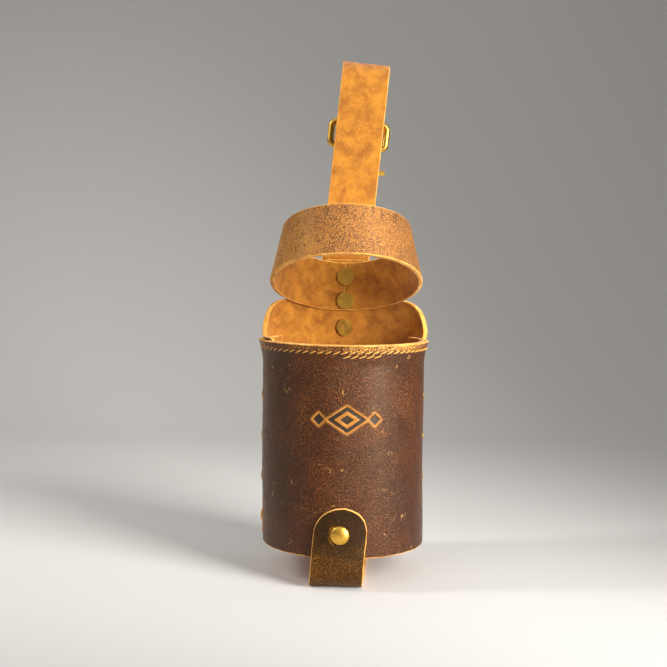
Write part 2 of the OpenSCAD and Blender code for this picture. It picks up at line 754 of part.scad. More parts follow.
front_panel();
back_panel();
rim_lining();
rim_stitches();
base_strap();
neck_band();
band_root();
hanger_root();
hanger_strap();
strap_rivet_caps();
strap_rivet_posts();
side_rivet_caps();
side_rivet_posts();
rear_rivet_caps();
rear_rivet_posts();
loop_rivet_cap();
loop_rivet_post();
hook_eye();
hook_body();
hook_gate();
gate_pin();
gate_spring();
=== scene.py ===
"""Looks of a riveted leather carrier with a snap hook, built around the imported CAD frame.

The carrier is cut from waxed pull-up leather. Each piece is drawn as a flat pattern, as a
saddler would cut it, and then bent to where the CAD says it lies. Lengths are in
millimetres and angles in degrees, up to the mesh, which is in metres.
"""

import logging
import math
from dataclasses import dataclass, field, replace
from enum import Enum
from typing import Callable, Sequence

import bpy
import numpy as np
from mathutils import Matrix, Vector, noise
from mathutils.geometry import delaunay_2d_cdt


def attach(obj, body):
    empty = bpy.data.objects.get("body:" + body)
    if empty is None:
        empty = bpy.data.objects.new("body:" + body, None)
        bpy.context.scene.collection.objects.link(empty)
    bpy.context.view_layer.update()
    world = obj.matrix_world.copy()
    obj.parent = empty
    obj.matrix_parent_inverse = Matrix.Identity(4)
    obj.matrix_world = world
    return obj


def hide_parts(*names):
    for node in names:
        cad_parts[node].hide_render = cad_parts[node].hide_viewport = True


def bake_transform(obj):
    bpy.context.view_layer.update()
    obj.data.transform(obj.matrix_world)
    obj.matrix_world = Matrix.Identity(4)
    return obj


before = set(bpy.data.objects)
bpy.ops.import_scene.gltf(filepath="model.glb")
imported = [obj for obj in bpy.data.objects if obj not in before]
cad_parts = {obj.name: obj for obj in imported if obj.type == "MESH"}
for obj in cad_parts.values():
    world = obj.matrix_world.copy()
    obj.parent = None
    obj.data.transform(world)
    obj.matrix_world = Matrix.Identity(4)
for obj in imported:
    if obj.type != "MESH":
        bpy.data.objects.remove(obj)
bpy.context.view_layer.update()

log = logging.getLogger("carrier")

MM = 0.001

Point = tuple[float, float]
Loop = list[Point]
Bend = Callable[[float, float, float], Vector]


# Sizes that the sleeve, the straps and the metalwork share. RIM_REACH, RIM_RAMP and
# STRAP_TURN are angles.
LEATHER = 2.4
LAYER_GAP = 0.1
STRAP_W = 25.4
SLEEVE_Z = 15.0
SLEEVE_TOP = 116.6
SLEEVE_R = 40.4
BACK_R = 42.9
RIM_H = 10.0
RIM_FLARE = 2.2
RIM_REACH = 86.0
RIM_RAMP = 11.0
STRAP_FRONT_Y = 41.7
STRAP_BACK_Y = 44.2
STRAP_RIVET_Z = 27.0
STRAP_TURN = -2.5
CAP_R = 4.5
CAP_H = 2.0
STITCH_PITCH = 3.6
STITCH_DROP = 3.6
# The slope round the stamp's dark floor, and the depth in the stamp that far points get.
STAMP_SLOPE = 0.35
UNSTAMPED = -9.0


def clamp(value: float, low: float = 0.0, high: float = 1.0) -> float:
    """Returns value held between low and high."""
    return max(low, min(high, value))


def ease(value: float) -> float:
    """Returns a smooth step from 0 to 1 as value goes from 0 to 1."""
    t = clamp(value)
    return t * t * (3 - 2 * t)


def around(azimuth: float, radius: float, height: float) -> Vector:
    """Returns a point at an azimuth in degrees from the front, a radius and a height."""
    a = math.radians(azimuth)
    return Vector((radius * math.sin(a), -radius * math.cos(a), height))


def ripple(u: float, v: float, size: float, seed: float) -> float:
    """Returns smooth noise from -1 to 1 whose bumps are about size millimetres wide."""
    return noise.noise(Vector((u / size, v / size, seed)))


def srgb(code: str) -> tuple[float, float, float, float]:
    """Turns an sRGB hex colour into linear values.

    Args:
        code: The colour as six hex digits after a hash sign.

    Returns:
        Linear red, green and blue, with an alpha of 1.
    """
    parts = [int(code[i:i + 2], 16) / 255 for i in (1, 3, 5)]
    linear = [c / 12.92 if c <= 0.04045 else ((c + 0.055) / 1.055) ** 2.4 for c in parts]
    return (linear[0], linear[1], linear[2], 1.0)


def add(tree: bpy.types.NodeTree, kind: str, values: dict | None = None,
        **settings: object) -> bpy.types.Node:
    """Adds a node to a tree, with its settings, its constants and its links.

    Args:
        tree: The node tree that gets the node.
        kind: The node's type name.
        values: What each input gets, by name or number: a constant, an output socket, or
            a node, which gives its first output.
        **settings: Properties of the node itself.

    Returns:
        The new node.
    """
    node = tree.nodes.new(kind)
    for key, value in settings.items():
        setattr(node, key, value)
    for key, value in (values or {}).items():
        if isinstance(value, bpy.types.Node):
            value = value.outputs[0]
        if isinstance(value, bpy.types.NodeSocket):
            tree.links.new(value, node.inputs[key])
        else:
            node.inputs[key].default_value = value
    return node


def new_material(name: str) -> tuple[bpy.types.Material, bpy.types.NodeTree]:
    """Makes an empty node material.

    Args:
        name: The material's name.

    Returns:
        The material and its tree.
    """
    material = bpy.data.materials.new(name)
    material.use_nodes = True
    material.node_tree.nodes.clear()
    return material, material.node_tree


def finish_surface(tree: bpy.types.NodeTree, values: dict) -> None:
    """Ends a material's tree with a Principled shader and its output."""
    shader = add(tree, "ShaderNodeBsdfPrincipled", values)
    add(tree, "ShaderNodeOutputMaterial", {"Surface": shader})


def hide_place(tree: bpy.types.NodeTree, shift: float) -> bpy.types.Node:
    """Finds the place on the flat hide, in millimetres.

    Args:
        tree: The material's tree.
        shift: How far away on the hide the pattern is taken from.

    Returns:
        The node whose first output is the place.
    """
    place = add(tree, "ShaderNodeAttribute", attribute_name="hide")
    return add(tree, "ShaderNodeVectorMath",
               {0: place.outputs["Vector"], 1: (1 / MM,) * 3, 2: (shift, 0.7 * shift, 0)},
               operation="MULTIPLY_ADD")


def object_place(tree: bpy.types.NodeTree) -> bpy.types.Node:
    """Finds the place in the part, in millimetres.

    Args:
        tree: The material's tree.

    Returns:
        The node whose first output is the place.
    """
    coordinates = add(tree, "ShaderNodeTexCoord")
    return add(tree, "ShaderNodeVectorMath",
               {0: coordinates.outputs["Object"], 1: (1 / MM,) * 3}, operation="MULTIPLY")


@dataclass(frozen=True)
class PullUpLeather:
    """Grain side of oiled and waxed pull-up cowhide.

    The wax lies dark in the hide and moves away where it is bent or pressed, which
    leaves golden patches. To the eye that gives clouds of dark and warm brown, a dense
    grain of dark and tan dots, tan scratches and a soft, waxy sheen.

    The colours deep, body, warm and golden follow the wax as it thins, and rubbed is bare
    hide. shift takes another patch of the hide. grain weighs the fine dots, speck the dark
    pores, and worn_speck how many more pores show where the wax has moved.
    """

    name: str
    deep: str
    body: str
    warm: str
    golden: str
    rubbed: str
    scratch: str
    shift: float
    grain: float
    roughness: float
    gloss: float
    speck: float = 0.5
    worn_speck: float = 0.5
    scratches: float = 1.0
    pore: float = 0.65
    tint: str = "#FFDDB0"
    burnt: str = "#2B211B"
    # hole is the painted shade of the awl's holes.
    hole: str = "#170C06"
    sewn: bool = False

    def needle_holes(self, tree: bpy.types.NodeTree, place: bpy.types.Node) -> bpy.types.Node:
        """Finds where the awl went through, between each two stitches of the rim, to paint its
        shade.

        Args:
            tree: The material's tree.
            place: The node that gives the place on the hide.

        Returns:
            The node whose first output is 1 in a hole and 0 elsewhere.
        """
        flat = add(tree, "ShaderNodeSeparateXYZ", {0: place})
        along = add(tree, "ShaderNodeMath", {0: flat.outputs[0], 1: STITCH_PITCH, 2: 0.0},
                    operation="WRAP")
        along = add(tree, "ShaderNodeMath", {0: along, 1: STITCH_PITCH / 2},
                    operation="SUBTRACT")
        across = add(tree, "ShaderNodeMath", {0: flat.outputs[1], 1: SLEEVE_TOP - STITCH_DROP},
                     operation="SUBTRACT")
        # An awl's hole is about 1 mm wide, and longer across the rim than along it.
        offset = add(tree, "ShaderNodeCombineXYZ", {0: along, 1: across})
        reach = add(tree, "ShaderNodeVectorMath", {0: offset, 1: (1.0, 0.7, 1.0)},
                    operation="MULTIPLY")
        reach = add(tree, "ShaderNodeVectorMath", {0: reach}, operation="LENGTH")
        return add(tree, "ShaderNodeMapRange",
                   {0: reach.outputs["Value"], 1: 0.35, 2: 0.75, 3: 1.0, 4: 0.0},
                   interpolation_type="SMOOTHSTEP")

    def patterns(self, tree: bpy.types.NodeTree,
                 place: bpy.types.Node) -> dict[str, bpy.types.Node]:
        """Makes the patterns that the hide's colour and its relief share.

        Args:
            tree: The material's tree.
            place: The node that gives the place on the hide.

        Returns:
            The nodes called clouds, mottle, grain, specks and scratch.
        """
        # Clouds of wax 28 mm wide, mottling of 5 mm and a grain drawn 0.65 mm wide, coarser
        # than the real 0.4 mm so that it shows at this distance.
        clouds = add(tree, "ShaderNodeTexNoise",
                     {"Vector": place, "Scale": 1 / 28.0, "Detail": 3.0, "Roughness": 0.6,
                      "Distortion": 0.6})
        mottle = add(tree, "ShaderNodeTexNoise",
                     {"Vector": place, "Scale": 1 / 5.0, "Detail": 5.0, "Roughness": 0.68,
                      "Distortion": 0.3})
        grain = add(tree, "ShaderNodeTexNoise",
                    {"Vector": place, "Scale": 1 / 0.65, "Detail": 2.0, "Roughness": 0.75,
                     "Distortion": 0.3})

        # Pores are slanted and drawn 0.65 mm apart, for the same reason.
        slanted = add(tree, "ShaderNodeMapping",
                      {"Vector": place, "Scale": (1.0, 0.5, 1.0),
                       "Rotation": (0.0, 0.0, math.radians(35))})
        specks = add(tree, "ShaderNodeTexNoise",
                     {"Vector": slanted, "Scale": 1 / self.pore, "Detail": 2.0,
                      "Roughness": 0.7})

        # Scratches are curved lines 0.2 mm wide, kept only in patches of about 6 mm.
        lines = add(tree, "ShaderNodeTexNoise",
                    {"Vector": place, "Scale": 1 / 9.0, "Detail": 1.0, "Roughness": 0.4,
                     "Distortion": 1.4})
        near = add(tree, "ShaderNodeMath", {0: lines, 1: 0.5}, operation="SUBTRACT")
        near = add(tree, "ShaderNodeMath", {0: near}, operation="ABSOLUTE")
        thin = add(tree, "ShaderNodeMapRange", {0: near, 1: 0.0, 2: 0.011, 3: 1.0, 4: 0.0},
                   interpolation_type="SMOOTHSTEP")
        patch = add(tree, "ShaderNodeTexNoise",
                    {"Vector": place, "Scale": 1 / 6.0, "Detail": 2.0, "Roughness": 0.5})
        patch = add(tree, "ShaderNodeMapRange", {0: patch, 1: 0.60, 2: 0.68},
                    interpolation_type="SMOOTHSTEP")
        scratch = add(tree, "ShaderNodeMath", {0: thin, 1: patch}, operation="MULTIPLY")
        scratch = add(tree, "ShaderNodeMath", {0: scratch, 1: self.scratches * 0.7},
                      operation="MULTIPLY")
        return {"clouds": clouds, "mottle": mottle, "grain": grain, "specks": specks,
                "scratch": scratch}

    def wax(self, tree: bpy.types.NodeTree, made: dict[str, bpy.types.Node],
            pull: bpy.types.NodeSocket) -> bpy.types.Node:
        """Colours the hide by how thick the wax lies, and by the sheen and shade painted into pull.

        Args:
            tree: The material's tree.
            made: The hide's patterns.
            pull: How far the wax has moved, with painted sheen and shade on the front and the band.

        Returns:
            The node whose first output is the colour.
        """
        dots = add(tree, "ShaderNodeMapRange", {0: made["grain"], 1: 0.40, 2: 0.62},
                   interpolation_type="SMOOTHSTEP")
        tone = add(tree, "ShaderNodeMath", {0: made["clouds"], 1: 0.50, 2: 0.15},
                   operation="MULTIPLY_ADD")
        for part, share in ((made["mottle"], 0.20), (dots, self.grain), (pull, 0.42)):
            tone = add(tree, "ShaderNodeMath", {0: part, 1: share, 2: tone},
                       operation="MULTIPLY_ADD")
        tone = add(tree, "ShaderNodeMath", {0: tone, 1: self.grain / 2}, operation="SUBTRACT")
        ramp = add(tree, "ShaderNodeValToRGB", {"Fac": tone})
        stops = ramp.color_ramp.elements
        stops[0].position, stops[0].color = 0.28, srgb(self.deep)
        stops[1].position, stops[1].color = 0.48, srgb(self.body)
        for position, colour in ((0.66, self.warm), (0.92, self.golden)):
            stops.new(position).color = srgb(colour)
        return ramp

    def pores(self, tree: bpy.types.NodeTree, made: dict[str, bpy.types.Node],
              pull: bpy.types.NodeSocket) -> bpy.types.Node:
        """Finds the dark pores, which flock together in the mottling.

        Args:
            tree: The material's tree.
            made: The hide's patterns.
            pull: How far the wax has moved, with painted sheen and shade on the front and the band.

        Returns:
            The node whose first output is how dark a pore is.
        """
        dark = add(tree, "ShaderNodeMapRange", {0: made["specks"], 1: 0.50, 2: 0.64},
                   interpolation_type="SMOOTHSTEP")
        depth = add(tree, "ShaderNodeMath", {0: pull, 1: self.worn_speck, 2: self.speck},
                    operation="MULTIPLY_ADD")
        flocks = add(tree, "ShaderNodeMapRange",
                     {0: made["mottle"], 1: 0.42, 2: 0.58, 3: 0.15, 4: 1.8},
                     interpolation_type="SMOOTHSTEP")
        depth = add(tree, "ShaderNodeMath", {0: depth, 1: flocks}, operation="MULTIPLY")
        return add(tree, "ShaderNodeMath", {0: dark, 1: depth}, operation="MULTIPLY",
                   use_clamp=True)

    def relief(self, tree: bpy.types.NodeTree, place: bpy.types.Node,
               made: dict[str, bpy.types.Node]) -> bpy.types.Node:
        """Raises the grain: pores and creases that real hide has 0.4 mm apart, drawn 0.8 mm.

        Args:
            tree: The material's tree.
            place: The node that gives the place on the hide.
            made: The hide's patterns.

        Returns:
            The bump node.
        """
        cells = add(tree, "ShaderNodeTexVoronoi", {"Vector": place, "Scale": 1 / 0.8},
                    feature="DISTANCE_TO_EDGE")
        height = add(tree, "ShaderNodeMapRange", {0: cells, 1: 0.0, 2: 0.16},
                     interpolation_type="SMOOTHSTEP")
        for part, share in ((made["specks"], -0.9), (made["mottle"], 1.4),
                            (made["scratch"], -1.0)):
            height = add(tree, "ShaderNodeMath", {0: part, 1: share, 2: height},
                         operation="MULTIPLY_ADD")
        return add(tree, "ShaderNodeBump", {"Strength": 0.6, "Distance": 0.12 * MM,
                                            "Height": height})

    def build(self) -> bpy.types.Material:
        """Builds the material.

        Returns:
            The finished material, which reads the attributes hide, pull, edge and stamp.
        """
        material, tree = new_material(self.name)
        place = hide_place(tree, self.shift)
        pull, edge, stamp = (add(tree, "ShaderNodeAttribute", attribute_name=name).outputs["Fac"]
                             for name in ("pull", "edge", "stamp"))
        made = self.patterns(tree, place)

        # Wear: the last third of a millimetre before a cut edge is rubbed to tan.
        worn = add(tree, "ShaderNodeMapRange", {0: edge, 1: 0.0, 2: 0.35, 3: 0.6, 4: 0.0},
                   interpolation_type="SMOOTHSTEP")
        # The stamp: burnt dark inside, with an orange halo where the wax was pressed out.
        halo = add(tree, "ShaderNodeMapRange", {0: stamp, 1: -1.6, 2: 0.0},
                   interpolation_type="SMOOTHSTEP")
        glow = add(tree, "ShaderNodeMath", {0: halo, 1: made["mottle"]}, operation="MULTIPLY")
        glow = add(tree, "ShaderNodeMath", {0: glow, 1: 1.3}, operation="MULTIPLY",
                   use_clamp=True)
        inside = add(tree, "ShaderNodeMapRange", {0: stamp, 1: 0.0, 2: STAMP_SLOPE},
                     interpolation_type="SMOOTHSTEP")

        colour = self.wax(tree, made, pull).outputs["Color"]
        layers = [(self.pores(tree, made, pull), self.deep), (made["scratch"], self.scratch),
                  (worn, self.rubbed), (glow, self.rubbed), (inside, self.burnt)]
        # The needle holes are painted dark with hole: painted shade in holes that the mesh doesn't
        # cut.
        if self.sewn:
            layers.append((self.needle_holes(tree, place), self.hole))
        for share, code in layers:
            mix = add(tree, "ShaderNodeMix", {0: share, 6: colour, 7: srgb(code)},
                      data_type="RGBA")
            colour = mix.outputs[2]

        rough = add(tree, "ShaderNodeMapRange",
                    {0: made["mottle"], 1: 0.3, 2: 0.7, 3: self.roughness - 0.06,
                     4: self.roughness + 0.10}, interpolation_type="SMOOTHSTEP")
        finish_surface(tree, {"Base Color": colour, "Roughness": rough, "IOR": 1.48,
                              "Specular IOR Level": self.gloss,
                              "Specular Tint": srgb(self.tint), "Sheen Weight": 0.15,
                              "Sheen Roughness": 0.4, "Sheen Tint": srgb(self.rubbed),
                              "Normal": self.relief(tree, place, made)})
        return material


@dataclass(frozen=True)
class RawLeather:
    """Leather with no finish: its suede flesh side or its cut edge.

    Loose fibres scatter the light, so it is matt and velvety, with fine fibrous streaks.
    """

    name: str
    dark: str
    light: str
    shift: float
    fibre: float = 0.5
    roughness: float = 0.92
    sheen: float = 0.12

    def build(self) -> bpy.types.Material:
        """Builds the material.

        Returns:
            The finished material, which reads the attribute hide.
        """
        material, tree = new_material(self.name)
        place = hide_place(tree, self.shift)
        # Fibres half a millimetre wide or a little more, over blotches of 7 mm.
        fibres = add(tree, "ShaderNodeTexNoise",
                     {"Vector": place, "Scale": 1 / self.fibre, "Detail": 4.0,
                      "Roughness": 0.75})
        blotch = add(tree, "ShaderNodeTexNoise",
                     {"Vector": place, "Scale": 1 / 7.0, "Detail": 4.0, "Roughness": 0.6,
                      "Distortion": 0.4})
        both = add(tree, "ShaderNodeMath", {0: fibres, 1: blotch}, operation="ADD")
        share = add(tree, "ShaderNodeMapRange", {0: both, 1: 0.72, 2: 1.28},
                    interpolation_type="SMOOTHSTEP")
        colour = add(tree, "ShaderNodeMix", {0: share, 6: srgb(self.dark), 7: srgb(self.light)},
                     data_type="RGBA")
        bump = add(tree, "ShaderNodeBump", {"Strength": 0.6, "Distance": 0.15 * MM,
                                            "Height": fibres})
        finish_surface(tree, {"Base Color": colour.outputs[2], "Roughness": self.roughness,
                              "IOR": 1.45, "Sheen Weight": self.sheen, "Sheen Roughness": 0.5,
                              "Normal": bump})
        return material


@dataclass(frozen=True)
class CastBrass:
    """Antique brass, drawn or die cast, tumbled to satin and left to tarnish a little.

    It gives soft, warm highlights, browner in the hollows and with hairline scratches.
    """

    name: str
    bright: str = "#E6B24C"
    tarnish: str = "#C08E36"
    roughness: float = 0.36

    def build(self) -> bpy.types.Material:
        """Builds the material.

        Returns:
            The finished material, which reads Object coordinates.
        """
        material, tree = new_material(self.name)
        place = object_place(tree)
        # Tarnish lies in blotches of 3 mm.
        blotch = add(tree, "ShaderNodeTexNoise",
                     {"Vector": place, "Scale": 1 / 3.0, "Detail": 4.0, "Roughness": 0.6})
        share = add(tree, "ShaderNodeMapRange", {0: blotch, 1: 0.42, 2: 0.72, 3: 0.0, 4: 0.7},
                    interpolation_type="SMOOTHSTEP")
        colour = add(tree, "ShaderNodeMix",
                     {0: share, 6: srgb(self.bright), 7: srgb(self.tarnish)}, data_type="RGBA")
        # Tumbling leaves hairlines 1 mm long and 0.1 mm wide.
        lying = add(tree, "ShaderNodeVectorMath", {0: place, 1: (0.6, 0.6, 6.0)},
                    operation="MULTIPLY")
        hair = add(tree, "ShaderNodeTexNoise",
                   {"Vector": lying, "Scale": 1.6, "Detail": 4.0, "Roughness": 0.7})
        rough = add(tree, "ShaderNodeMapRange",
                    {0: blotch, 1: 0.35, 2: 0.75, 3: self.roughness - 0.05,
                     4: self.roughness + 0.14}, interpolation_type="SMOOTHSTEP")
        bump = add(tree, "ShaderNodeBump", {"Strength": 0.12, "Distance": 0.05 * MM,
                                            "Height": hair})
        finish_surface(tree, {"Base Color": colour.outputs[2], "Metallic": 1.0,
                              "Roughness": rough, "Normal": bump})
        return material


@dataclass(frozen=True)
class WaxedThread:
    """Waxed polyester thread of three plies, golden yellow, with a dull wax gloss."""

    name: str
    light: str = "#E0A848"
    dark: str = "#A8681F"
    ply: float = 0.9

    def build(self) -> bpy.types.Material:
        """Builds the material.

        Returns:
            The finished material, which reads Object coordinates.
        """
        material, tree = new_material(self.name)
        # Plies lie slanted, about 0.9 mm apart along the thread.
        turned = add(tree, "ShaderNodeMapping", {"Vector": object_place(tree),
                                                 "Rotation": (0.0, math.radians(40), 0.0)})
        plies = add(tree, "ShaderNodeTexWave",
                    {"Vector": turned, "Scale": 0.31 / self.ply, "Distortion": 0.5},
                    bands_direction="X").outputs["Fac"]
        colour = add(tree, "ShaderNodeMix", {0: plies, 6: srgb(self.dark), 7: srgb(self.light)},
                     data_type="RGBA")
        bump = add(tree, "ShaderNodeBump", {"Strength": 0.5, "Distance": 0.1 * MM,
                                            "Height": plies})
        finish_surface(tree, {"Base Color": colour.outputs[2], "Roughness": 0.5, "IOR": 1.5,
                              "Normal": bump})
        return material


@dataclass(frozen=True)
class SpringWire:
    """Hard drawn spring steel, smooth and bright, with faint draw marks."""

    name: str
    colour: str = "#B9B7B0"

    def build(self) -> bpy.types.Material:
        """Builds the material.

        Returns:
            The finished material, which reads Object coordinates.
        """
        material, tree = new_material(self.name)
        # Draw marks lie about 1 mm apart.
        marks = add(tree, "ShaderNodeTexNoise",
                    {"Vector": object_place(tree), "Scale": 0.9, "Detail": 3.0})
        rough = add(tree, "ShaderNodeMapRange", {0: marks, 1: 0.3, 2: 0.7, 3: 0.18, 4: 0.34},
                    interpolation_type="SMOOTHSTEP")
        finish_surface(tree, {"Base Color": srgb(self.colour), "Metallic": 1.0,
                              "Roughness": rough})
        return material


PANEL_HIDE = PullUpLeather("Waxed hide of the panels", deep="#29120A", body="#4E260E",
                           warm="#7A431A", golden="#DBA552", rubbed="#CC8634",
                           scratch="#D8A45C", shift=0.0, grain=0.4, roughness=0.32,
                           gloss=0.45, worn_speck=0.0, tint="#FFE0BE")


class Finish(Enum):
    """The finishes of the carrier's pieces."""

    PANEL = PANEL_HIDE
    FRONT = replace(PANEL_HIDE, name="Waxed hide of the sewn front", sewn=True)
    BAND = PullUpLeather("Waxed hide of the neck band", deep="#573820", body="#A66C38",
                         warm="#B8792C", golden="#D09642", rubbed="#E0A048",
                         scratch="#E2B468", shift=210.0, grain=0.34, roughness=0.44,
                         gloss=0.32, speck=0.62, tint="#FFE2C2")
    STRAP = PullUpLeather("Waxed hide of the straps", deep="#211206", body="#3A210B",
                          warm="#603B0F", golden="#A8691A", rubbed="#CF8C34",
                          scratch="#B98A4C", shift=470.0, grain=0.34, roughness=0.46,
                          gloss=0.25, speck=0.6, scratches=0.7)
    FLESH = RawLeather("Suede flesh side", dark="#8A4E0A", light="#C27E20", shift=90.0)
    EDGE = RawLeather("Cut edge of the hide", dark="#BC7522", light="#F0B452", shift=330.0,
                      fibre=0.7, sheen=0.1)
    BRASS = CastBrass("Satin antique brass")
    THREAD = WaxedThread("Golden waxed thread")
    STEEL = SpringWire("Bright spring wire")


class Workshop:
    """Keeps the built materials, so that each is made once."""

    def __init__(self) -> None:
        """Starts with no material built."""
        self.built: dict[Finish, bpy.types.Material] = {}

    def material(self, finish: Finish) -> bpy.types.Material:
        """Finds a finish's material, and builds it the first time.

        Args:
            finish: The finish.

        Returns:
            Its material.
        """
        if finish not in self.built:
            self.built[finish] = finish.value.build()
        return self.built[finish]


WORKSHOP = Workshop()


def resample(points: Sequence[Point], step: float, closed: bool = True) -> Loop:
    """Splits a polyline's sides into lengths of at most step and keeps its corners.

    Args:
        points: The corners, in order.
        step: The longest side allowed, in millimetres.
        closed: Whether the last corner joins the first.

    Returns:
        The corners and the points between them.
    """
    result: Loop = []
    ends = list(points[1:]) + ([points[0]] if closed else [])
    for start, end in zip(points, ends):
        length = math.dist(start, end)
        count = max(1, math.ceil(length / step))
        result += [(start[0] + (end[0] - start[0]) * i / count,
                    start[1] + (end[1] - start[1]) * i / count) for i in range(count)]
    if not closed:
        result.append(tuple(points[-1]))
    return result


def corner(centre: Point, radius: float, start: float, end: float, steps: int = 10) -> Loop:
    """Returns the points of a rounded corner, by its centre, radius and two angles."""
    angles = [math.radians(start + (end - start) * i / steps) for i in range(steps + 1)]
    return [(centre[0] + radius * math.cos(a), centre[1] + radius * math.sin(a)) for a in angles]


def inset(loop: Loop, distance: float) -> Loop:
    """Moves each point of an anticlockwise loop inwards.

    Args:
        loop: The loop.
        distance: How far it moves.

    Returns:
        The moved points.
    """
    array = np.array(loop)
    forward = np.roll(array, -1, 0) - array
    forward /= np.linalg.norm(forward, axis=1)[:, None]
    normal = np.stack([-forward[:, 1], forward[:, 0]], 1)
    mean = normal + np.roll(normal, 1, 0)
    mean /= np.maximum(np.sum(mean * mean, 1)[:, None] / 2, 0.4)
    return [tuple(p) for p in array + mean * distance]


def distances(points: np.ndarray, loops: Sequence[Loop]) -> tuple[np.ndarray, np.ndarray]:
    """Measures points against closed loops.

    Args:
        points: The points, one a row.
        loops: The closed loops.

    Returns:
        Each point's distance to the nearest side, and whether it is inside by the
        even-odd rule.
    """
    nearest = np.full(len(points), np.inf)
    inside = np.zeros(len(points), bool)
    for loop in loops:
        array = np.array(loop)
        for a, b in zip(array, np.roll(array, -1, 0)):
            d = b - a
            t = np.clip(((points - a) @ d) / max(d @ d, 1e-12), 0, 1)
            nearest = np.minimum(nearest, np.linalg.norm(points - a - t[:, None] * d, axis=1))
            if a[1] != b[1]:
                crosses = (points[:, 1] > a[1]) != (points[:, 1] > b[1])
                x = a[0] + (points[:, 1] - a[1]) * d[0] / d[1]
                inside ^= crosses & (points[:, 0] < x)
    return nearest, inside


@dataclass
class FlatShell:
    """The points and faces of a leather piece before it is bent.

    Each point has its u, v and w, its distance from the cut edge and its depth in the
    stamp. Each polygon has its points and the number of its finish.
    """

    places: list[tuple[float, float, float]] = field(default_factory=list)
    edges: list[float] = field(default_factory=list)
    stamps: list[float] = field(default_factory=list)
    polygons: list[tuple[tuple[int, ...], int]] = field(default_factory=list)


